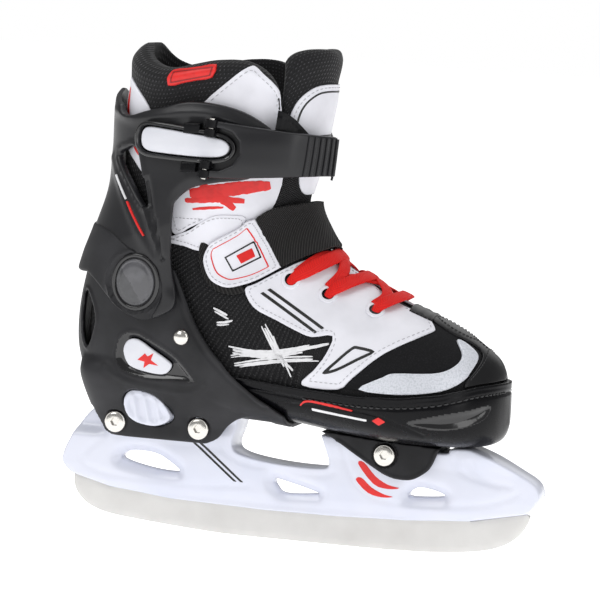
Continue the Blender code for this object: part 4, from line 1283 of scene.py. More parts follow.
BADGE = (
    (-97.3, 101), (-94.5, 106.8), (-88.5, 107.6), (-80, 102.8), (-70, 96.8), (-69, 93.5), (-73.5, 89.4),
    (-85, 90.1), (-94, 93),
)
RECESS = (
    (-101.5, 101), (-99, 108), (-91, 111.2), (-80, 106.8), (-66, 99), (-57, 89), (-57.5, 86.8), (-70, 86.5),
    (-85, 86.8), (-97, 90), (-101.5, 95.5),
)
REAR_WINDOW = ((-124.5, 131), (-118.5, 124), (-116.5, 114), (-121.5, 100.5), (-125.5, 112))


def form_body(s_range, off, rows, columns=120):
    """The whole inside of the form, out to a standoff, as a closed solid."""
    s, t = np.meshgrid(np.linspace(*s_range, rows + 1), np.arange(columns) / columns, indexing="ij")
    height = off(s) if callable(off) else np.full_like(s, off)
    points = lift(s, t, height).reshape(-1, 3)
    faces = [*quads(rows + 1, columns), *(cap[::-1] for cap in end_caps(rows + 1, columns))]
    return face_outwards(new_object("form", points, faces))


def skirt_body(wall, low_z, high_z):
    """Solid plan of the skirt that runs from the heel down round the holder, less a wall all round."""
    table = np.array(SKIRT_LEVELS)
    rows = []
    for z in np.linspace(low_z, high_z, 20):
        x_back, half = (np.interp(z, table[:, 0], table[:, k]) for k in (1, 2))
        half -= wall
        angle = np.pi * np.arange(33) / 32
        x = x_back + SKIRT_DEPTH - (SKIRT_DEPTH - wall) * np.abs(np.sin(angle)) ** SKIRT_POWER
        y = -half * np.sign(np.cos(angle)) * np.abs(np.cos(angle)) ** SKIRT_POWER
        ring = np.concatenate([[(-14.0, -half)], np.stack([x, y], -1), [(-14.0, half)]])
        rows.append(np.insert(ring, 2, z, axis=1))
    n = len(rows[0])
    caps = [cap[::-1] for cap in end_caps(len(rows), n)]
    return face_outwards(new_object("skirt", np.concatenate(rows), caps + quads(len(rows), n)))


def make_heel_shell():
    ear = [(PIVOT[0] + EAR_RADIUS * math.cos(a), PIVOT[1] + EAR_RADIUS * math.sin(a))
           for a in np.radians(np.linspace(30, 150, 14))]
    shell = form_body((8.6, 18.0), SHELL_HIGH, 90)
    front = rounded(SHELL_FRONT[1:], 4, closed=False)
    outline = [SHELL_FRONT[0], *front, *ear, (-112, 143), (-150, 143), (-150, 40)]
    boolean(shell, block(outline, -60, 60), "INTERSECT")
    skirt = skirt_body(0.0, 51.4, 94.0)
    skirt_front = rounded(SKIRT_FRONT[1:-1], 4, closed=False)
    boolean(skirt, block([SKIRT_FRONT[0], *skirt_front, SKIRT_FRONT[-1], (-150, 40), (-150, 96)], -60, 60),
            "INTERSECT")
    boolean(shell, skirt, "UNION")
    boolean(shell, form_body((8.0, 18.6), SHELL_LOW, 90))
    boolean(shell, skirt_body(SKIRT_WALL, 45.0, 66.8))
    room = [(-150, 40), (-150, 66.8), (-10, 66.8), (-10, 40)]
    boolean(shell, block(room, -HEEL_BOLT_FACE + SKIRT_WALL, HEEL_BOLT_FACE - SKIRT_WALL))
    for x, z in HEEL_BOLTS:
        boolean(shell, cross_rod(x, z, -30, 30, BOLT_BORE))
        for side in (-1, 1):
            boolean(shell, cross_rod(x, z, *sorted((side * HEEL_BOLT_FACE, side * 40)), 6.9))
    boolean(shell, block(grown(rounded(BUTTON, 4), 0.5), -60, -2.8))
    boolean(shell, block(rounded(REAR_WINDOW, 4), -60, 60))
    for side in (-1, 1):
        boolean(shell, cross_rod(*PIVOT, *sorted((side * 10, side * 60)), 4.35))
    moulded(shell, 0.8, 3, CHARCOAL)
    softened(shell, lambda p: smooth(np.abs(p[:, 2] - 88.0), 12.0, 5.0), 50)
    recess = rounded(RECESS, 5)
    badge = rounded(BADGE, 4)
    ridge = rounded(SHELL_RIDGE, 5, closed=False)
    window = rounded(REAR_WINDOW, 4)
    front_line = np.array(SHELL_FRONT[2:])

    def relief(points, ups):
        xz = points[:, ::2]
        facing_out = ups[:, 1] * np.sign(points[:, 1]) > 0.45
        gap = distance_to(xz, recess)
        depth = np.where(inside(xz, recess), smooth(gap, 0.0, 3.2), 0.0)
        seat = np.where(inside(xz, badge), 0.25, 0.0)
        lip = 0.35 * bell(gap - 1.0, 0.8) * ~inside(xz, recess)
        soft = 0.55 * bell(distance_to(xz, ridge, closed=False), 1.7)
        rim = 0.5 * bell(distance_to(xz, front_line, closed=False) - 3.6, 1.1)
        panes = 0.6 * bell(distance_to(xz, window) - 1.4, 0.9)
        return np.where(facing_out, lip + soft - rim - 1.5 * depth - seat + panes, 0.0)

    pushed(shell, relief)
    gloss_faces(shell, GLOSS_BLACK, recess)
    shell.name = "heel_shell_moulding"
    settle(shell, "base", "charcoal_plastic", "heel_shell")


def grown(outline, by):
    """An outline moved outwards."""
    return inset(np.asarray(outline, float), -by)


def gloss_faces(obj, look, outline, sides=0.45):
    """Give another material to the side faces inside an outline in side elevation."""
    obj.data.materials.append(look)
    index = len(obj.data.materials) - 1
    count = len(obj.data.polygons)
    middle, ups = np.empty(count * 3), np.empty(count * 3)
    obj.data.polygons.foreach_get("center", middle)
    obj.data.polygons.foreach_get("normal", ups)
    middle, ups = middle.reshape(-1, 3) / MM, ups.reshape(-1, 3)
    chosen = inside(middle[:, ::2], outline) & (ups[:, 1] * np.sign(middle[:, 1]) > sides)
    slots = np.empty(count, dtype=np.int32)
    obj.data.polygons.foreach_get("material_index", slots)
    slots[chosen] = index
    obj.data.polygons.foreach_set("material_index", slots)


def make_button():
    button = block(rounded(BUTTON, 4), -27.0, -21.8)
    boolean(button, cross_rod(-85.0, 69.5, -22.6, -5.5, 3.0), "UNION")
    moulded(button, 0.5, 3, WHITE_PLASTIC)

    def relief(points, ups):
        x, z = points[:, 0], points[:, 2]
        face = np.clip(-ups[:, 1], 0, 1) ** 2
        gap = distance_to(points[:, ::2], rounded(BUTTON, 4))
        ribs = sum(bell(x + 0.25 * (z - 69) - k, 1.5) for k in (-91.0, -84.5, -78.0))
        return face * (1.2 * ribs * smooth(gap, 1.0, 4.0) - 0.9 * smooth(gap, 1.5, 4.0))

    pushed(button, relief)
    button.name = "size_button_moulding"
    settle(button, "size_lock", "white_plastic", "size_button")


BADGE_MARK = (
    (-88.5, 96.5), (-84, 100.5), (-82.5, 98.8), (-79, 101), (-80.5, 97), (-76, 94.2), (-81.5, 94.8),
    (-85, 92), (-84.3, 95.8),
)


def make_badges():
    for side, label in SIDES:
        loop = locate(rounded(BADGE, 4), SHELL_HIGH + 0.7)
        badge = side_patch(f"heel_badge_{label}_face", side, loop, SHELL_HIGH - 0.8, SHELL_HIGH + 0.7, INSERT,
                           step=1.6, edge=0.7, spacing=0.9)
        settle(badge, "base", "white_insert", f"heel_badge_{label}")
        mark = locate(BADGE_MARK, SHELL_HIGH + 0.7)
        star = ink(f"heel_badge_{label}_mark", side, mark, SHELL_HIGH + 0.6, SHELL_HIGH + 0.82, RED_INK, 1.4)
        settle(star, "base", "white_insert")


DOME_PROFILE = ((0.01, 2.1), (1.2, 2), (2.4, 1.7), (3.4, 1.2), (4.1, 0.6), (4.35, 0.1), (4.3, 0), (2, 0),
                (2, -5.4), (0.01, -5.4))


def make_domes():
    for side, label in SIDES:
        (s, t), = locate([DOME], SHELL_HIGH + 0.6)
        place = lift(s, t, SHELL_HIGH + 0.6)
        way = normal(s, t)
        if side > 0:
            place, way = place * (1, -1, 1), way * (1, -1, 1)
        dome = lathe(f"dome_{label}", DOME_PROFILE, place, way, NICKEL)
        settle(dome, "base", "nickel", f"dome_rivet_{label}")


# ---------------------------------------------------------------- toe half
CUP_TOP = (
    (125, 101), (111.5, 98), (100, 96.3), (82, 91.5), (60, 88.5), (35, 87.8), (5, 88.8), (-30, 91.5),
    (-60, 92.5),
)
CUP_LENS = ((66, 75.5), (80, 80), (96, 83.5), (106, 86), (104, 79), (94, 74), (80, 72.5))
CUP_LINE = ((0, 79.5), (18, 80.2), (45, 79), (62, 74), (74, 69))
CAP_SEAM = (
    (66.8, 130.6), (72, 128), (80, 123.8), (88, 119.9), (92.5, 117.6), (97.3, 114), (98.6, 110),
    (97, 104.5), (93.6, 98.6),
)
CAP_FOOT = ((93.4, 95.3), (100, 97), (106, 97.6), (110, 98.4))
VAMP = (
    (63, 131.6), (70, 124.4), (50, 113.2), (34, 98.5), (27, 91), (40, 90.6), (52, 97.6), (58, 100.2),
    (76, 101.2), (86.6, 103.8), (92.4, 109), (91.5, 114.5), (89, 118.2), (80, 122.9),
)
OVERLAY = (
    (38, 91.3), (51, 99), (57, 101.5), (76, 102.5), (84, 104.6), (88.6, 108.6), (89.4, 112.4),
    (87.4, 116.2), (84.6, 120.2), (87.4, 119.4), (91.6, 116.8), (95.8, 113.2), (97, 109.6), (95.4, 104.6),
    (92.2, 98.9), (82, 93.2), (60, 90.2),
)
PANEL = (
    (72.5, 125.6), (64.8, 131.8), (55, 135), (42, 141), (24, 151.5), (13, 159.5), (0, 157.5), (-11, 151.8),
    (-25, 143.2), (-31, 139.5), (-25, 130), (-12, 124.4), (0, 119.5), (9, 117), (20.5, 118.6), (18, 108.5),
    (12, 99.5), (5, 90.5), (26, 90), (34, 97), (50, 111.6), (70, 122.9),
)
TRIANGLE = ((45, 112), (36, 114), (32, 113.2), (23.5, 105), (17, 98), (24.5, 99.6), (36.5, 106.5))
PANEL_BARS = (
    ((-22, 137.8), (-20.4, 138.8), (12, 119.8), (10.6, 118.8)),
    ((-18.4, 140), (-16.8, 141), (15.6, 122.2), (14.2, 121.2)),
)
CUP_CHANNEL = 5.6
EYELETS = ((10.45, 0.143, 9.35), (8.87, 0.118, 7.9), (7.27, 0.094, 6.7))


def make_toe_cup():
    cup = form_body((0.0, 10.6), cup_out, 110)
    boolean(cup, block([*CUP_TOP, (-60.0, 40.0), (125.0, 40.0)], -70, 70), "INTERSECT")
    boolean(cup, form_body((0.0, 10.9), lambda s: ramp(s, 8.0, 8.9, 0.7, 1.3), 110))
    moulded(cup, 0.7, 3, BLACK_PLASTIC)
    rim = np.array(CUP_TOP)
    lens = rounded(CUP_LENS, 5)
    line = rounded(CUP_LINE, 5, closed=False)

    def relief(points, ups):
        xz = points[:, ::2]
        outward = (ups[:, 1] * np.sign(points[:, 1]) > 0.3) | (ups[:, 0] > 0.45)
        below = distance_to(xz, rim, closed=False)
        bead = 0.35 * bell(below - 0.9, 0.9)
        channel = 0.8 * bell(below - CUP_CHANNEL, 0.9)
        hollow = np.where(inside(xz, lens), 1.3 * smooth(distance_to(xz, lens), 0.0, 3.5), 0.0)
        crease = 0.5 * bell(distance_to(xz, line, closed=False), 0.8)
        return np.where(outward, bead - channel - hollow - crease * (points[:, 0] < 76), 0.0)

    pushed(cup, relief)
    gloss_faces(cup, GLOSS_BLACK, lens)
    cup.name = "toe_cup_moulding"
    settle(cup, "toe", "black_plastic", "toe_cup")


CUP_SWOOSH = ((5, 79.2), (9.5, 82.2), (22, 81.4), (36, 79.6))
CUP_BAR = ((12, 78.6), (44, 75.6), (44, 74.4), (12, 77.2))
CUP_DIAMOND = ((47, 75.2), (50.6, 77.4), (54.6, 75.2), (50.6, 72.8))


def make_cup_marks():
    for side, label in SIDES:
        for kind, outline, look in (("swoosh", brush_stroke(CUP_SWOOSH, 1.3, 71), RED_INK),
                                    ("bar", resampled(CUP_BAR, 2.0), WHITE_INK),
                                    ("diamond", resampled(CUP_DIAMOND, 2.0), RED_INK)):
            loop = locate(outline, lambda s: cup_out(s) + 0.1)
            mark = ink(f"cup_{kind}_{label}", side, loop, lambda s: cup_out(s) - 0.4,
                       lambda s: cup_out(s) + 0.12, look, edge=0.04)
            settle(mark, "toe", "black_plastic")


def make_cup_stitches():
    """Dashes in the channel below the rim, from the tail round the toe to the tail."""
    channel = np.array(CUP_TOP[1:-2]) - (0, CUP_CHANNEL)
    edge = locate(rounded(channel, 4, closed=False), cup_out)
    bits = []
    for line in (edge, mirrored(edge, 0.5)):
        bits += stitch_bits(to_flat(line, 0.5), lambda s, t: cup_out(s) - 0.55, 0.5, girth=0.8, pitch=3.6,
                            length=2.4)
    settle(merged("cup_stitches", bits, BLACK_THREAD), "toe", "black_plastic")


def top_point(s):
    return np.array([[s, 0.0]])


def make_toe_leather():
    seam = locate(rounded(CAP_SEAM, 3, closed=False), OVERLAY_HIGH)
    foot = locate(CAP_FOOT, OVERLAY_HIGH)
    edge = np.concatenate([top_point(5.73), seam, foot, top_point(0.62)])
    cap = patch("toe_cap_leather", wrapped(edge, 0.0), OVERLAY_LOW, OVERLAY_HIGH, BLACK_LEATHER, centre=0.0,
                step=2.2)
    settle(cap, "toe", "black_leather", "toe_cap")
    vamp_edge = np.concatenate([top_point(6.9), locate(VAMP, 0.8), top_point(5.6)])
    vamp = patch("toe_vamp", wrapped(vamp_edge, 0.0), 0.05, 0.7, SUEDE, centre=0.0, step=2.6, edge=0.3)
    settle(vamp, "toe", "black_leather")
    bits = []
    seam = locate(rounded(np.array(CAP_SEAM) + (1.6, 0.6), 3, closed=False), OVERLAY_HIGH)
    for line in (seam, mirrored(seam, 0.0)):
        bits += stitch_bits(to_flat(line, 0.0), OVERLAY_HIGH + 0.1, 0.0, pitch=2.4, length=1.7, girth=0.5)
    settle(merged("toe_cap_stitches", bits, BLACK_THREAD), "toe", "black_leather")
    tack = [(5.55, -0.05), (5.55, 0.05), (6.35, 0.05), (6.35, -0.05)]
    tab = patch("toe_bar_tack", np.array(tack)[::-1], 1.0, 2.6, BLACK_LEATHER, centre=0.0, step=2.0, edge=0.7,
                relief=lambda spot: 0.25 * np.sin(spot.flat[:, 0] * 2.6))
    settle(tab, "toe", "black_leather")


def side_stitches(name, side, loop, by, off, skip):
    """A row of stitches inside an outline, but for the part where skip(z) is true."""
    centre = 0.25
    if side > 0:
        loop, centre = mirrored(loop, 0.5)[::-1], 0.75
    line = inset(evened(to_flat(loop, centre), 0.8), by)
    seen = lift(*to_form(line, centre).T, 1.9)
    return merged(name, stitch_bits(line[~skip(seen[:, 2])], off, centre), GREY_THREAD)


def edge_stitches(name, flat, by, off, centre=0.25):
    """A closed row of stitches inside an unrolled outline."""
    return merged(name, stitch_bits(inset(flat, by), off, centre, closed=True), GREY_THREAD)


def make_toe_panels():
    for side, label in SIDES:
        loop = locate(rounded(PANEL, 3), OVERLAY_HIGH)
        panel = side_patch(f"lacing_panel_{label}_leather", side, loop, OVERLAY_LOW, OVERLAY_HIGH,
                           WHITE_LEATHER, step=2.2, edge=0.7)
        settle(panel, "toe", "white_leather", f"lacing_panel_{label}")
        rows = side_stitches(f"lacing_panel_{label}_stitches", side, loop, 2.3, OVERLAY_HIGH,
                             lambda z: z < 93.0)
        settle(rows, "toe", "white_leather")
        edge = rounded(TRIANGLE, 3)
        ring = ink(f"panel_mark_{label}", side, locate(edge, OVERLAY_HIGH), OVERLAY_HIGH - 0.1,
                   OVERLAY_HIGH + 0.16, BLACK_INK, 1.5, holes=[locate(inset(edge, 1.5), OVERLAY_HIGH)])
        settle(ring, "toe", "white_leather")
        for k, outline in enumerate(PANEL_BARS):
            loop = locate(resampled(outline, 3.0), OVERLAY_HIGH)
            bar = ink(f"panel_bar_{k}_{label}", side, loop, OVERLAY_HIGH - 0.1, OVERLAY_HIGH + 0.16,
                      BLACK_INK, 1.8, 0.9)
            settle(bar, "toe", "white_leather")
        loop = locate(rounded(OVERLAY, 3), OVERLAY_HIGH)
        overlay = side_patch(f"toe_overlay_{label}_skin", side, loop, OVERLAY_LOW, OVERLAY_HIGH, REFLECTIVE,
                             step=2.2, edge=0.5)
        settle(overlay, "toe", "reflective", f"toe_overlay_{label}")


EYELET_RING = ((3.3, 0.3), (3.5, 0.75), (4.2, 0.95), (5, 0.7), (5.4, 0.1), (5.4, 0), (3.3, 0), (3.3, 0.3))
EYELET_WELL = ((0.01, 0.45), (3.4, 0.45), (3.4, -0.1), (0.01, -0.1))
LACE_PAST = 1.08
LACE_THICK = 1.9


def lace_width(share):
    """A lace gathers where it enters its eyelets."""
    return 5.0 + 3.0 * smooth(np.minimum(share, 1 - share), 0.02, 0.16)


def make_laces():
    under = []
    for k, (s_eye, t_eye, peak) in enumerate(EYELETS):
        for side, label in ((1, "outer"), (-1, "inner")):
            place, way = lift(s_eye, side * t_eye, OVERLAY_HIGH - 0.1), normal(s_eye, side * t_eye)
            eye = lathe(f"eyelet_{k + 1}_{label}_ring", EYELET_RING, place, way, WHITE_LEATHER)
            settle(eye, "toe", "white_leather")
            well = lathe(f"eyelet_{k + 1}_{label}_well", EYELET_WELL, place, way, BLACK_PLASTIC)
            settle(well, "toe", "black_plastic", f"eyelet_{k + 1}_{label}")
        ends = np.linspace(-LACE_PAST, LACE_PAST, 17)
        t = t_eye * ends
        s = s_eye - (s_eye - peak) * np.cos(0.5 * np.pi * np.clip(ends, -1, 1))
        offs = 4.9 - 3.9 * smooth(np.abs(ends), 0.78, LACE_PAST)
        bar = strand(np.stack([s, t], -1), offs, lace_width, LACE_THICK)
        run = merged(f"lace_run_{k + 1}", [bar], RED_LACE, sharp=0)
        settle(run, "toe", "red_lace", f"lace_{k + 1}")
    for k in (0, 1):
        (s_a, t_a, _), (s_b, t_b, _) = EYELETS[k], EYELETS[k + 1]
        for side, height in ((1, 3.3), (-1, 4.4)):
            line = [(s_a - 0.1, side * t_a * 0.9), (s_a - 0.55, side * t_a * 0.45),
                    ((s_a + s_b) / 2 - 0.5, 0.0), (s_b - 0.15, -side * t_b * 0.5),
                    (s_b + 0.05, -side * t_b * 0.9)]
            under.append(strand(line, [2.6, height, height, height, 2.6], 6.6, 1.5))
    crossing = merged("lace_crossings", under, RED_LACE, sharp=0)
    settle(crossing, "toe", "red_lace")


def bend(obj):
    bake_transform(obj)
    return obj


def make_upper():
    def wall(s, t):
        return np.full_like(s, -SOFT_WALL)

    def skin_off(s, t):
        return np.zeros_like(s)

    toe = zone("toe_upper_lining", (0.9, THROAT), (0.0, 1.0), wall, skin_off, SIDE_MESH, 90, 150)
    settle(toe, "toe", "black_mesh", "toe_upper")

    def knit_puff(s, t):
        along = np.sin(np.pi * np.clip((s - THROAT) / (GUSSET - THROAT), 0, 1))
        return 0.5 * along * smooth(np.abs(t - 0.5), 0.1, 0.2)

    gusset = zone("stretch_gusset_knit", (THROAT, GUSSET), (0.0, 1.0), wall, knit_puff, KNIT, 36, 150)
    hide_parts("stretch_gusset")
    bend(gusset)
    heel = zone("heel_liner_knit", (GUSSET, HEEL), (0.0, 1.0), wall, skin_off, KNIT, 40, 150)
    settle(heel, "base", "black_mesh", "heel_liner")
    ankle = zone("ankle_flex_knit", (HEEL, COLLAR), (0.0, 1.0), wall, skin_off, KNIT, 44, 150)
    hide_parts("ankle_flex_zone")
    bend(ankle)
    for name, s_range, body in (("toe_footbed", (4.0, THROAT), "toe"),
                                ("heel_footbed", (THROAT + 0.02, 12.9), "base")):
        bed = zone(f"{name}_foam", s_range, (0.4, 0.6), lambda s, t: np.full_like(s, -SOFT_WALL - 0.6),
                   lambda s, t: -8.0 + 0.8 * np.abs(t - 0.5) / 0.1, FOAM, 40, 30, centre=0.5)
        settle(bed, body, "footbed_foam", name)


ROLL_START, ROLL_FACE, TONGUE_EDGE = 21.25, -4.4, 0.144
TONGUE_ROLL, TONGUE_MIDDLE = 22.2, -3.0


def rolled(s, standoff, start, end, middle):
    """A standoff that rolls in to middle over the last part of the padding, like a quarter of a circle."""
    share = np.sqrt(np.clip(1 - ((s - start) / (end - start)) ** 2, 0, 1))
    return np.where(s > start, (standoff - middle) * share + middle, standoff)


def collar_out(s, t):
    """The collar is plump above the cuff and rolls in at its edge."""
    plump = 3.2 * smooth(s, 20.3, 21.3) + 1.2 * smooth(s, 20.9, 21.5)
    return rolled(s, plump, ROLL_START, RIM, ROLL_FACE)


def collar_in(s, t):
    swell = 2.4 * smooth(s, 19.5, 21.2)
    return rolled(s, -SOFT_WALL - swell, ROLL_START, RIM, ROLL_FACE)


def tongue_side(t):
    return np.sqrt(np.clip(1 - (t / TONGUE_EDGE) ** 6, 0, 1))


def tongue_out(s, t):
    plump = 0.4 + 3.4 * smooth(s, 20.6, 22.0) * tongue_side(t)
    return rolled(s, plump, TONGUE_ROLL, TONGUE_TOP, TONGUE_MIDDLE)


def tongue_in(s, t):
    swell = 2.0 * smooth(s, 19.8, 22.0) * tongue_side(t)
    return rolled(s, -SOFT_WALL - swell, TONGUE_ROLL, TONGUE_TOP, TONGUE_MIDDLE)


def collar_rim(t):
    """The collar is a little higher at the back and its front corners are round."""
    away = np.abs(t - 0.5)
    corner = np.clip((away - 0.28) / 0.07, 0, 1)
    saddle = 0.45 * bell(away - 0.17, 0.06) - 0.2 * bell(away - 0.27, 0.05)
    return RIM + 0.4 * smooth(away, 0.12, 0.02) - saddle - 2.0 * (1 - np.sqrt(1 - corner ** 2))


def collar_face(s, t):
    """Standoff of the collar's face, with its rim drawn in."""
    own = COLLAR + (s - COLLAR) * (RIM - COLLAR) / (collar_rim(t) - COLLAR)
    return collar_out(np.minimum(own, RIM), t)


def collar_side(extra):
    return lambda s: collar_out(np.minimum(s, RIM), np.full_like(s, 0.2)) + extra


def tongue_rim(t):
    corner = np.clip((np.abs(t) - 0.03) / 0.118, 0, 1)
    return TONGUE_TOP - 1.7 * (1 - np.sqrt(1 - corner ** 2)) - 0.22 * bell(t, 0.022)


def make_collar():
    collar = zone("collar_padding", (COLLAR, RIM), (0.15, 0.85), collar_in, collar_out, FINE_MESH, 60, 130,
                  centre=0.5, rim=collar_rim)
    settle(collar, "cuff", "black_mesh", "collar")
    tongue = zone("tongue_padding", (COLLAR, TONGUE_TOP), (-TONGUE_EDGE, TONGUE_EDGE), tongue_in, tongue_out,
                  FINE_MESH, 70, 60, centre=0.0, rim=tongue_rim)
    points = points_of(tongue)
    points[:, 2] += 5.5 * smooth(points[:, 2], 238.0, 264.0)
    move_points(tongue, points)
    settle(tongue, "cuff", "black_mesh", "tongue")


QUARTER = (
    (-73, 167.6), (-64, 170.4), (-57, 173.8), (-45.5, 176.4), (-31.5, 174.5), (-25.5, 177.4), (-21.5, 181),
    (-20.3, 183.7), (-17.8, 189.4), (-15, 200.5), (-18, 208), (-45, 206), (-76, 204),
)
UPPER_QUARTER = (
    (-58, 239.6), (-46, 250.6), (-34, 260), (-30, 260.2), (-25.4, 256.8), (-21.4, 253.2), (-17.9, 248.6),
    (-16.9, 244.2), (-16.9, 236), (-17.4, 226.8), (-24, 222), (-64, 228),
)
RED_TAG = ((-77, 256), (-51.5, 260.4), (-53.4, 253.2), (-78.4, 247))
STROKES = (
    (((-64, 189.5), (-48, 192), (-34, 194.5), (-21, 196.5)), 7.5),
    (((-66.5, 185.5), (-56, 186.5), (-44, 187.6), (-34, 187)), 3.6),
    (((-58, 195), (-48, 189), (-39, 182.5)), 4.6),
    (((-62, 181), (-52, 182.4), (-45, 183)), 1.6),
)


def sideways(line):
    """Unit vectors across a line in side elevation."""
    along = np.gradient(line, axis=0)
    along /= np.linalg.norm(along, axis=1, keepdims=True)
    return np.stack([-along[:, 1], along[:, 0]], -1)


def brush_stroke(line, width, seed, flow=1.4):
    """Outline of a ragged brush stroke along a line in side elevation."""
    middle = evened(rounded(line, 6, closed=False), flow, closed=False)
    across = sideways(middle)
    draw = np.random.default_rng(seed)
    share = np.linspace(0, 1, len(middle))
    body = width / 2 * (0.35 + 0.65 * np.sin(np.pi * np.clip(share * 0.92 + 0.04, 0, 1)) ** 0.45)
    upper, lower = (body + draw.uniform(-0.32, 0.22, len(middle)) * min(1.0, width / 3) for _ in range(2))
    return np.concatenate([middle + across * upper[:, None], (middle - across * lower[:, None])[::-1]])


def ink_stroke(name, line, width, seed, off, look, side=-1, step=1.8):
    outline = brush_stroke(line, width, seed)
    return ink(name, side, locate(outline, off), off - 0.08, off + 0.1, look, step, 0.9, 0.04)


def joined(name, objects):
    """One object from several that have the same material."""
    bm = bmesh.new()
    for obj in objects:
        bm.from_mesh(obj.data)
    look = objects[0].data.materials[0]
    mesh = bpy.data.meshes.new(name)
    bm.to_mesh(mesh)
    bm.free()
    made = linked(name, mesh)
    mesh.materials.append(look)
    shade(mesh, 50)
    for obj in objects:
        bpy.data.objects.remove(obj)
    return made


def make_quarters():
    for side, label in SIDES:
        loop = locate(rounded(QUARTER, 3), 0.7)
        quarter = side_patch(f"quarter_{label}", side, loop, 0.1, 0.72, WHITE_LEATHER, step=2.4, edge=0.4)
        bend(quarter)
        rows = side_stitches(f"quarter_{label}_stitches", side, loop, 2.2, 0.78, lambda z: z > 176.0)
        bend(rows)
        strokes = [ink_stroke("stroke", line, width, 11 + k, 0.82, RED_INK, side)
                   for k, (line, width) in enumerate(STROKES)]
        bend(joined(f"quarter_{label}_strokes", strokes))

        loop = locate(rounded(UPPER_QUARTER, 3), collar_side(0.5))
        upper = side_patch(f"collar_quarter_{label}", side, loop, -0.3, 0.9, WHITE_LEATHER, step=2.0,
                           edge=0.5, rise=collar_face)
        settle(upper, "cuff", "white_leather")
        rows = side_stitches(f"collar_quarter_{label}_stitches", side, loop, 2.3,
                             lambda s, t: collar_face(s, t) + 0.95, lambda z: z < 238.0)
        settle(rows, "cuff", "white_leather")
    tag = np.array(RED_TAG)
    loop = locate(rounded(resampled(tag, 8.0), 2), collar_side(0.5))
    red_tag = patch("collar_tag", loop, -0.2, 1.5, RED_INK, step=1.6, edge=0.4, spacing=0.8, rise=collar_face)
    settle(red_tag, "cuff", "red_lace")
    line = evened(tag, 0.8)
    border = ink("collar_tag_border", -1, locate(inset(line, 1.0), collar_side(1.5)), 1.3, 1.75, DARK_RED_INK,
                 1.5, 0.7, holes=[locate(inset(line, 1.6), collar_side(1.5))], rise=collar_face)
    settle(border, "cuff", "red_lace")


def make_tongue_patch():
    def over(extra):
        return lambda s: tongue_out(s, np.zeros_like(s)) + extra

    edge = np.array(((20.95, 0.0), (20.95, 0.045), (20.8, 0.08), (20.35, 0.108), (19.8, 0.124), (19.2, 0.13),
                     (18.55, 0.13), (18.3, 0.12), (18.25, 0.0)))
    loop = wrapped(rounded(edge, 3, closed=False), 0.0)
    face = patch("tongue_face", loop, over(-0.3), over(0.8), WHITE_LEATHER, centre=0.0, step=2.2, edge=0.6)
    settle(face, "cuff", "white_leather")
    flat = evened(to_flat(loop, 0.0), 0.8)
    stitches = edge_stitches("tongue_face_stitches", flat, 2.2, lambda s, t: over(0.85)(s), 0.0)
    settle(stitches, "cuff", "white_leather")
    line = to_form(inset(flat, 4.4), 0.0)
    band = ink("tongue_face_line", -1, line, over(0.7), over(0.95), BLACK_INK, 1.8, 0.9, centre=0.0,
               holes=[to_form(inset(flat, 5.6), 0.0)])
    settle(band, "cuff", "white_leather")


REAR_STRIP = (
    (20.95, 0.43), (20.4, 0.452), (19.2, 0.44), (18.6, 0.39), (18.2, 0.35), (18.6, 0.335), (19.6, 0.345),
    (20.2, 0.37),
)
REAR_STRIPE = ((20.6, 0.433), (20.3, 0.44), (19.6, 0.43), (18.8, 0.385), (18.8, 0.372), (19.6, 0.415))
TONGUE_TIP = ((17.9, 0.085), (16.6, 0.078), (15.3, 0.064), (14.3, 0.04), (14, 0.015))


def make_liner_trim():
    """White strip with a red stripe on the back of the collar, and the tongue patch's lower tip."""
    for side, label in SIDES:
        strip = side_patch(f"rear_strip_{label}", side, rounded(REAR_STRIP, 3), -0.3, 0.9, WHITE_LEATHER,
                           step=2.0, edge=0.4, rise=collar_face)
        settle(strip, "cuff", "white_leather")
        stripe = ink(f"rear_stripe_{label}", side, rounded(REAR_STRIPE, 3), 0.7, 1.05, RED_INK,
                     rise=collar_face)
        settle(stripe, "cuff", "white_leather")
    tip = patch("tongue_tip", wrapped(rounded(TONGUE_TIP, 3, closed=False), 0.0), 0.1, 1.0, WHITE_LEATHER,
                centre=0.0, step=2.0, edge=0.4)
    bend(tip)


SIDE_STROKES = (
    (((-36, 97), (-18, 101), (0, 104), (19.5, 106)), 2.8, 3),
    (((-40, 106.5), (-22, 105), (-4, 107.5), (19, 114)), 3.8, 3),
    (((-19, 121), (-10, 107), (-2, 93.5)), 3, 3),
    (((-14, 119), (-8, 106), (3, 95)), 1.4, 1),
    (((-40, 101.5), (-26, 104), (-10, 102.5)), 1.4, 2),
    (((-50, 128), (-43, 125), (-35, 121.5)), 2, 2),
    (((-47, 119.5), (-41, 120), (-34.5, 122)), 1.8, 2),
)


def bundle(line, width, count, seed):
    """Thin ragged strokes side by side, with ends that do not line up."""
    line = rounded(line, 6, closed=False)
    across = sideways(line)
    draw = np.random.default_rng(seed)
    out = []
    for k in range(count):
        shift = ((k + 0.5) / count - 0.5) * width * 1.2
        start, end = draw.integers(0, 4), len(line) - draw.integers(0, 4)
        bend_out = draw.uniform(-0.3, 0.3) * np.sin(np.linspace(0, np.pi, len(line)))
        out.append((line + across * (shift + bend_out)[:, None])[start:end])
    return out


def make_side_print():
    for side, label in SIDES:
        strokes = []
        for k, (line, width, count) in enumerate(SIDE_STROKES):
            for j, one in enumerate(bundle(line, width, count, 40 + k)):
                wide = width / count * (1.15 + 0.35 * (j % 2))
                seed = 60 + 5 * k + j
                strokes.append(ink_stroke("stroke", one[::2], wide, seed, 0.62, WHITE_INK, side, 1.6))
        bend(joined(f"side_print_{label}", strokes))


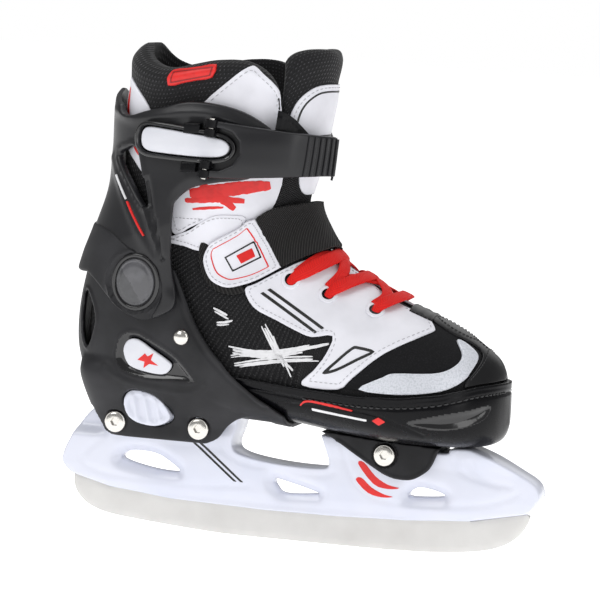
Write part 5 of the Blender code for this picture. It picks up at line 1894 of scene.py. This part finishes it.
# ---------------------------------------------------------------- cuff and its buckle
CUFF_EDGE_LOW = (
    (-123, 142.2), (-119.5, 140.5), (-112.5, 135.4), (-106.4, 129.7), (-100.5, 125), (-95, 121.9),
    (-89.6, 119.8), (-84.3, 119.2), (-79.3, 120.4), (-74.3, 122.6), (-68.5, 126.5), (-67, 132), (-68, 138),
    (-70, 147.6), (-71, 159.6), (-71, 181.6), (-69.3, 185.6), (-65, 190), (-59.3, 193.6), (-45, 197),
    (-30, 199.5), (-21, 206), (-16, 216), (-17, 224), (-21.6, 229), (-34, 235.6), (-49, 239), (-66, 239.4),
    (-79, 235.8), (-92, 232.5), (-101, 229.5), (-106.5, 230.2), (-110, 235),
)
CUFF_WINDOW = ((-108.5, 206.5), (-103, 211), (-96, 212), (-90.5, 196), (-86.5, 181), (-97, 192))
CUFF_HOLLOW = ((-94.5, 196), (-86.5, 197.5), (-73, 153), (-75.8, 151.5))
CUFF_CREASE = ((-112, 232), (-98, 228), (-80, 231), (-62, 233.5), (-45, 232), (-30, 226), (-22, 216))
CUFF_FRONT = ((-66, 140), (-67, 160), (-67, 182), (-60, 190))
CUFF_STRUTS = (((-114, 205), (-100, 182), (-80, 152)), ((-98, 212), (-88, 182), (-76, 156)))
CUFF_LINE_WHITE = ((-109.6, 196), (-108.6, 196.8), (-99.4, 184.2), (-100.2, 183.6))
CUFF_LINE_RED = ((-99.4, 182.6), (-98.4, 183.2), (-85.8, 165.4), (-86.6, 164.8))
BAND_TOP = (
    (-118, 168.4), (-109, 166), (-102, 162), (-96, 158.5), (-91, 156), (-84, 152), (-78, 146), (-74.5, 139),
    (-75, 131), (-77.4, 125), (-79.5, 121.6),
)
RELEASE = (
    (-91.2, 218), (-90.3, 222.3), (-86.5, 224.4), (-75, 223.8), (-60, 222.3), (-48, 221), (-42, 219.2),
    (-39.6, 215.8), (-41.8, 212.2), (-48, 210.5), (-60, 210.3), (-78, 210.9), (-86.5, 211.6), (-90.3, 214),
)
LEVER = (
    (-55.5, 199.3), (-36, 199.8), (-20, 201), (20, 203.8), (20, 223.7), (-10, 226.5), (-36, 229),
    (-52.4, 230.6), (-52.4, 226.4), (-44, 226.4), (-38, 224.5), (-34, 220), (-33.5, 213), (-37, 207),
    (-44, 203.6), (-55.5, 203.6),
)
PIN_LOW, PIN_HIGH = np.array((-52.8, -48.6, 198.6)), np.array((-49.4, -48.6, 231.6))
KNUCKLE_R = 3.3
LEVER_END = 0.043
LEVER_RIBS = (0.0480, 0.0580, 0.0690, 0.0800, 0.0910, 0.1020)


def make_cuff():
    rear_low, rear_high = np.array([[16.15, 0.5]]), np.array([[20.5, 0.5]])
    low_edge = locate(rounded(CUFF_EDGE_LOW, 3, closed=False), cuff_out)
    loop = wrapped(np.concatenate([rear_low, low_edge, rear_high]), 0.5)
    window = locate(rounded(CUFF_WINDOW, 4), cuff_out)
    windows = [window, mirrored(window, 0.5)[::-1]]
    lines = (CUFF_CREASE, CUFF_FRONT, *CUFF_STRUTS)
    crease, front, *struts = (rounded(line, 4, closed=False) for line in lines)
    inner_window = rounded(CUFF_WINDOW, 4)
    hollow = np.array(CUFF_HOLLOW)

    def relief(spot):
        xz = spot.xz
        sunk = np.where(inside(xz, hollow), 1.5 * smooth(distance_to(xz, hollow), 0.0, 1.4), 0.0)
        hood = 1.3 * bell(distance_to(xz, crease, closed=False), 2.6)
        dish = 0.9 * smooth(distance_to(xz, front, closed=False), 9.0, 3.0)
        raised = sum(0.9 * bell(distance_to(xz, strut, closed=False), 2.2) for strut in struts)
        frame_lip = 0.7 * bell(distance_to(xz, inner_window) - 1.6, 1.0)
        return hood - dish + raised + frame_lip - sunk

    fold = locate(resampled(np.array([*CUFF_HOLLOW, CUFF_HOLLOW[0]]), 1.5, closed=False), cuff_out)
    cuff = patch("cuff_moulding", loop, cuff_in, cuff_out, SATIN_BLACK, centre=0.5, holes=windows, step=1.5,
                 edge=1.1, relief=relief, lines=[fold, mirrored(fold, 0.5)])
    settle(cuff, "cuff", "black_plastic", "cuff")
    for side, label in SIDES:
        for k, (line, look) in enumerate(((CUFF_LINE_WHITE, WHITE_INK), (CUFF_LINE_RED, RED_INK))):
            mark = ink(f"cuff_line_{k}_{label}", side, locate(line, over_cuff(1.0)), over_cuff(0.1),
                       over_cuff(1.12), look, 1.5, 0.7)
            settle(mark, "cuff", "black_plastic")

    def boss(spot):
        away = np.hypot(*(spot.xz - PIVOT).T)
        return 1.0 * bell(away - 17.4, 0.9) - 0.5 * bell(away - 15.6, 0.8)

    upper = locate(rounded(BAND_TOP, 3, closed=False), over_cuff(1.0))
    lower = locate(rounded(CUFF_EDGE_LOW[:9], 3, closed=False)[::-1], over_cuff(1.0))
    edge = np.concatenate([[[17.15, 0.5]], upper, lower, rear_low])
    band = patch("cuff_band", wrapped(edge, 0.5), over_cuff(-0.6), over_cuff(1.0), CHARCOAL, centre=0.5,
                 step=1.5, edge=0.9, relief=boss)
    settle(band, "cuff", "charcoal_plastic")


DISC = (11.2, 12.8)


def make_pivots():
    lift_off = 7.9 + CUFF_WALL
    disc = oval(PIVOT, DISC, 60)
    # The part of each cap inside this outline takes the lighter grey, as a painted reflection band.
    reflection_band_line = np.array(((-102.0, 152.0), (-92.0, 139.0), (-84.0, 127.0), (-70.0, 127.0), (-70.0, 155.0)))

    def relief(spot):
        away = np.hypot(*((spot.xz - PIVOT) / DISC).T)
        return 0.7 * (1 - away ** 2) - 0.5 * bell(away - 0.86, 0.05)

    for side, label in SIDES:
        loop = locate(disc, lift_off + 2.2)
        painted_reflection_area = locate(reflection_band_line, lift_off + 2.2)
        cap = side_patch(f"pivot_cap_{label}", side, loop, lift_off + 0.4, lift_off + 2.2, GREY_GLOSS,
                         step=0.9, edge=1.0, relief=relief, spacing=0.8, looks=[(GREY_PAINTED_REFLECTION, painted_reflection_area)])
        settle(cap, "cuff", "grey_gloss", f"cuff_pivot_{label}")
        collar = locate(oval(PIVOT, (14.2, 15.8), 60), lift_off + 1.6)
        hole = locate(oval(PIVOT, (11.7, 13.3), 60), lift_off + 1.6)
        rim = side_patch(f"pivot_rim_{label}", side, collar, lift_off + 0.3, lift_off + 1.6, GLOSS_BLACK,
                         step=1.2, edge=0.7, spacing=0.8, holes=[hole])
        settle(rim, "cuff", "black_plastic")
        (s, t), = locate([PIVOT], lift_off)
        outer_y = abs(lift(s, t, lift_off + 1.0)[1])
        pin = lathe(f"pivot_pin_{label}", [(0.01, 0.0), (4.0, 0.0), (4.0, 8.6), (3.4, 9.2), (0.01, 9.2)],
                    (PIVOT[0], side * outer_y, PIVOT[1]), (0, -side, 0), GREY_GLOSS)
        settle(pin, "cuff", "grey_gloss")


PIN_ALONG = (PIN_HIGH - PIN_LOW) / np.linalg.norm(PIN_HIGH - PIN_LOW)
KNUCKLE_LENGTH = 4.4
HOUSING_TOP, NOTCH_TOP, PLATE_TOP, LEVER_TOP = 2.5, 5.2, 4.9, 6.2
NOTCHES = (((-66, 222.5), (-56.5, 228.5)), ((-66.5, 201.5), (-57.5, 207.5)))


def make_housing():
    """Frame of the ladder strap buckle, with a lip round the release plate."""
    plate_line = rounded(RELEASE, 4)

    def lip(spot):
        gap = distance_to(spot.xz, plate_line)
        return np.where(inside(spot.xz, plate_line), 0.0, 2.6 * smooth(gap, 0.3, 1.4))

    top = over_cuff(HOUSING_TOP)
    loop, *rims = (grown(evened(plate_line, 0.9), by) for by in (3.3, 0.3, 1.5))
    rims = [locate(np.concatenate([rim, rim[:1]]), top) for rim in rims]
    housing = patch("buckle_housing", locate(loop, top), over_cuff(0.4), top, GLOSS_BLACK, step=1.2, edge=0.9,
                    relief=lip, spacing=0.8, lines=rims)
    settle(housing, "cuff", "black_plastic", "buckle_base")


def make_ears():
    """Two barrels on webs, which carry the lever's pins."""
    ears = []
    for start in (PIN_LOW + PIN_ALONG * 5.6, PIN_HIGH - PIN_ALONG * 10.0):
        ears.append(ring_bits(start, PIN_ALONG, KNUCKLE_LENGTH))
        x, z = start[0], start[2]
        web = [(x - 3.2, z), (x + 3.4, z), (x + 3.9, z + 4.3), (x - 2.7, z + 4.3)]
        ears.append(block_bits(web, -48.0, -44.4))
    settle(merged("buckle_ears", ears, BLACK_PLASTIC, sharp=35), "cuff", "black_plastic")


def make_notches():
    """Two blocks on the frame, above and below the lever's front end."""
    for k, (low, high) in enumerate(NOTCHES):
        corners = [low, (high[0], low[1] + 0.4), (high[0] + 0.4, high[1]), (low[0] + 0.4, high[1] - 0.4)]
        notch = patch(f"buckle_notch_{k}", locate(resampled(corners, 3.0), over_cuff(4.0)), over_cuff(0.2),
                      over_cuff(NOTCH_TOP), BLACK_PLASTIC, step=1.3, edge=0.8, spacing=0.8)
        settle(notch, "cuff", "black_plastic")


def make_release_plate():
    plate_line = rounded(RELEASE, 4)

    def crown(spot):
        return 0.5 * smooth(distance_to(spot.xz, plate_line), 0.5, 5.0)

    top = over_cuff(PLATE_TOP)
    face = patch("release_plate_face", locate(plate_line, top), over_cuff(3.0), top, INSERT, step=1.4,
                 edge=0.9, spacing=0.8, relief=crown)
    settle(face, "release", "white_insert", "release_plate")


def make_lever():
    """The lever with its grip ribs, its two knuckles and the colour of its pins."""
    def crown(spot):
        along = np.exp(-((spot.xz[:, 1] - 214.0) / 11.0) ** 4)
        return along * smooth(spot.t, LEVER_RIBS[-1], LEVER_RIBS[-1] + 0.03)

    top = over_cuff(LEVER_TOP)
    loop = locate(rounded(resampled(LEVER, 7.0), 1), top)
    loop[:, 1] = np.maximum(loop[:, 1], LEVER_END)
    lever = patch("buckle_lever_moulding", loop, over_cuff(3.6), top, SATIN_BLACK, step=1.3, edge=1.1,
                  relief=crown, spacing=0.9)
    ribs = []
    fine = evened(loop, 0.002)
    for t in LEVER_RIBS:
        ends = fine[np.abs(fine[:, 1] - max(t, LEVER_END + 0.004)) < 0.003, 0]
        s_line = np.linspace(ends.min() + 0.07, ends.max() - 0.07, 7)
        rib = np.stack([s_line, np.full(7, t)], -1)
        ribs.append(strand(rib, cuff_out(s_line) + LEVER_TOP, 1.9, 1.9, square=3.5))
    settle(merged("buckle_lever_ribs", ribs, SATIN_BLACK), "lever", "black_plastic")
    settle(lever, "lever", "black_plastic", "buckle_lever")
    knuckles = [ring_bits(start, PIN_ALONG, KNUCKLE_LENGTH)
                for start in (PIN_LOW + PIN_ALONG * 0.7, PIN_HIGH - PIN_ALONG * 5.2)]
    settle(merged("buckle_lever_knuckles", knuckles, BLACK_PLASTIC, sharp=35), "lever", "black_plastic")
    for node in ("lever_pin_lower", "lever_pin_upper"):
        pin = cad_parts[node]
        pin.data.materials.clear()
        pin.data.materials.append(NICKEL)


def ring_bits(start, along, length, outer=KNUCKLE_R, bore=1.85, steps=28):
    """A short hollow barrel as (points, faces, flat)."""
    across = np.cross(along, (0, 1, 0))
    across /= np.linalg.norm(across)
    over = np.cross(along, across)
    angle = 2 * np.pi * np.arange(steps) / steps
    ring = np.cos(angle)[:, None] * across + np.sin(angle)[:, None] * over
    levels = [(bore, 0.0), (outer - 0.4, 0.0), (outer, 0.4), (outer, length - 0.4), (outer - 0.4, length),
              (bore, length)]
    points = np.concatenate([start + along * h + ring * r for r, h in levels])
    faces = [tuple(k % len(points) for k in face) for face in quads(len(levels) + 1, steps)]
    return points, faces, np.zeros((len(points), 3))


TOOTH_PITCH, STRAP_DIP = 2.6, 1.35


def make_ladder_strap():
    """Toothed strap that dips towards the toe and lies close to the tongue where it crosses the shin."""
    t_line = np.linspace(-0.2, 0.155, 24)

    def near_shin(t):
        return smooth(np.abs(t), 0.16, 0.06)

    dip = STRAP_DIP * near_shin(t_line)
    edge = np.concatenate([np.stack([18.4 - dip, t_line], -1), np.stack([19.8 - dip, t_line], -1)[::-1]])

    def teeth(spot):
        saw = (spot.flat[:, 1] / TOOTH_PITCH) % 1.0
        middle = smooth(np.abs(spot.s + STRAP_DIP * near_shin(spot.t) - 19.1), 0.55, 0.4)
        return 0.55 * saw * middle

    strap = patch("ladder_strap_toothed", edge, over_cuff(0.6), over_cuff(1.7), BLACK_PLASTIC, centre=0.0,
                  step=0.9, edge=0.5, relief=teeth, rise=lambda s, t: -4.6 * near_shin(t))
    settle(strap, "cuff", "black_plastic", "ladder_strap")


# ---------------------------------------------------------------- instep strap
STRAP = ((-11.4, 153.4), (0, 159.4), (8, 162.2), (14, 164.4))
STRAP_TOP = ((7, 188.6), (0, 189), (-18, 184), (-27, 178.2))
TAB = (
    (-28.2, 177.2), (-27.6, 177.2), (-24, 171.5), (-18, 162.1), (-12.6, 153.6), (-12.5, 152.9),
    (-18, 149.2), (-25, 145), (-32, 142), (-40, 139.8), (-46, 141), (-50.4, 143.7), (-53.4, 149),
    (-54.5, 155), (-51.8, 161.6), (-48, 165), (-36, 172), (-32, 176),
)
LOOP = (
    (-56.5, 163), (-57.5, 155), (-55.5, 147), (-52, 141), (-46, 137.2), (-38, 136), (-31, 138.6),
    (-36, 143), (-48, 146), (-51, 160),
)
ANCHOR = (
    (-78, 163), (-64, 169), (-57.4, 173.8), (-50, 178), (-42, 179), (-33, 178), (-38, 168), (-48, 160),
    (-58, 158.4), (-66, 160.5),
)

TAB_BOX = ((-43, 156), (-38, 148.4), (-23, 157.2), (-27.8, 166))
TAB_MARK = ((-36.6, 157.4), (-33.6, 153.2), (-26.4, 157.6), (-28.6, 162))


def make_instep_strap():
    low = locate(rounded(STRAP, 3, closed=False), 3.8)
    top = locate(rounded(STRAP_TOP, 3, closed=False), 3.8)
    edge = np.concatenate([top_point(12.35), top, low, top_point(10.35)])
    strap = patch("instep_webbing", wrapped(edge, 0.0), 2.2, 3.8, WEBBING, centre=0.0, step=2.2, edge=0.5,
                  rise=lambda s, t: 3.4 * smooth(np.abs(t), 0.13, 0.03))
    settle(strap, "base", "webbing", "instep_strap")
    loop = locate(rounded(TAB, 3), 4.0)
    tab = patch("strap_tab_leather", loop, 2.2, 4.0, WHITE_LEATHER, step=2.0, edge=0.7)
    settle(tab, "strap_end", "white_leather", "strap_tab")
    flat = evened(to_flat(loop, 0.25), 0.8)
    settle(edge_stitches("strap_tab_stitches", flat, 2.0, 4.05), "strap_end", "white_leather")
    line = to_form(inset(flat, 5.0), 0.25)
    ring = ink("strap_tab_line", -1, line, 3.9, 4.15, RED_INK, 1.8, holes=[to_form(inset(flat, 5.7), 0.25)])
    settle(ring, "strap_end", "white_leather")
    box = evened(TAB_BOX, 0.8)
    frame_line = ink("strap_tab_box", -1, locate(box, 4.0), 3.9, 4.18, BLACK_INK, spacing=0.7,
                     holes=[locate(inset(box, 0.8), 4.0)])
    settle(frame_line, "strap_end", "white_leather")
    mark = ink("strap_tab_mark", -1, locate(resampled(TAB_MARK, 3.0), 4.0), 3.9, 4.18, RED_INK)
    settle(mark, "strap_end", "white_leather")
    loop = patch("strap_loop", locate(rounded(LOOP, 3), 2.0), 0.3, 2.0, WEBBING, step=2.0, edge=0.5)
    settle(loop, "base", "webbing")
    loop = locate(rounded(ANCHOR, 3), 1.5)
    anchor = patch("strap_anchor_leather", loop, 0.75, 1.5, WHITE_LEATHER, step=2.0, edge=0.4)
    settle(anchor, "base", "white_leather", "strap_anchor")
    flat = evened(to_flat(loop, 0.25), 0.8)
    settle(edge_stitches("strap_anchor_stitches", flat, 1.9, 1.55), "base", "white_leather")


# ---------------------------------------------------------------- everything
def make_hardware():
    make_bolt("heel_rear", *HEEL_BOLTS[0], HEEL_BOLT_FACE)
    make_bolt("heel_front", *HEEL_BOLTS[1], HEEL_BOLT_FACE)
    make_bolt("toe", *TOE_BOLT, BRACKET_FACE)
    make_knurled_ring()
    make_domes()


make_blade()
make_holder()
make_holder_marks()
make_hardware()
make_bracket()
make_heel_shell()
make_button()
make_badges()
make_toe_cup()
make_cup_stitches()
make_cup_marks()
make_toe_leather()
make_toe_panels()
make_laces()
make_upper()
make_collar()
make_quarters()
make_tongue_patch()
make_liner_trim()
make_side_print()
make_cuff()
make_pivots()
make_housing()
make_ears()
make_notches()
make_release_plate()
make_lever()
make_ladder_strap()
make_instep_strap()
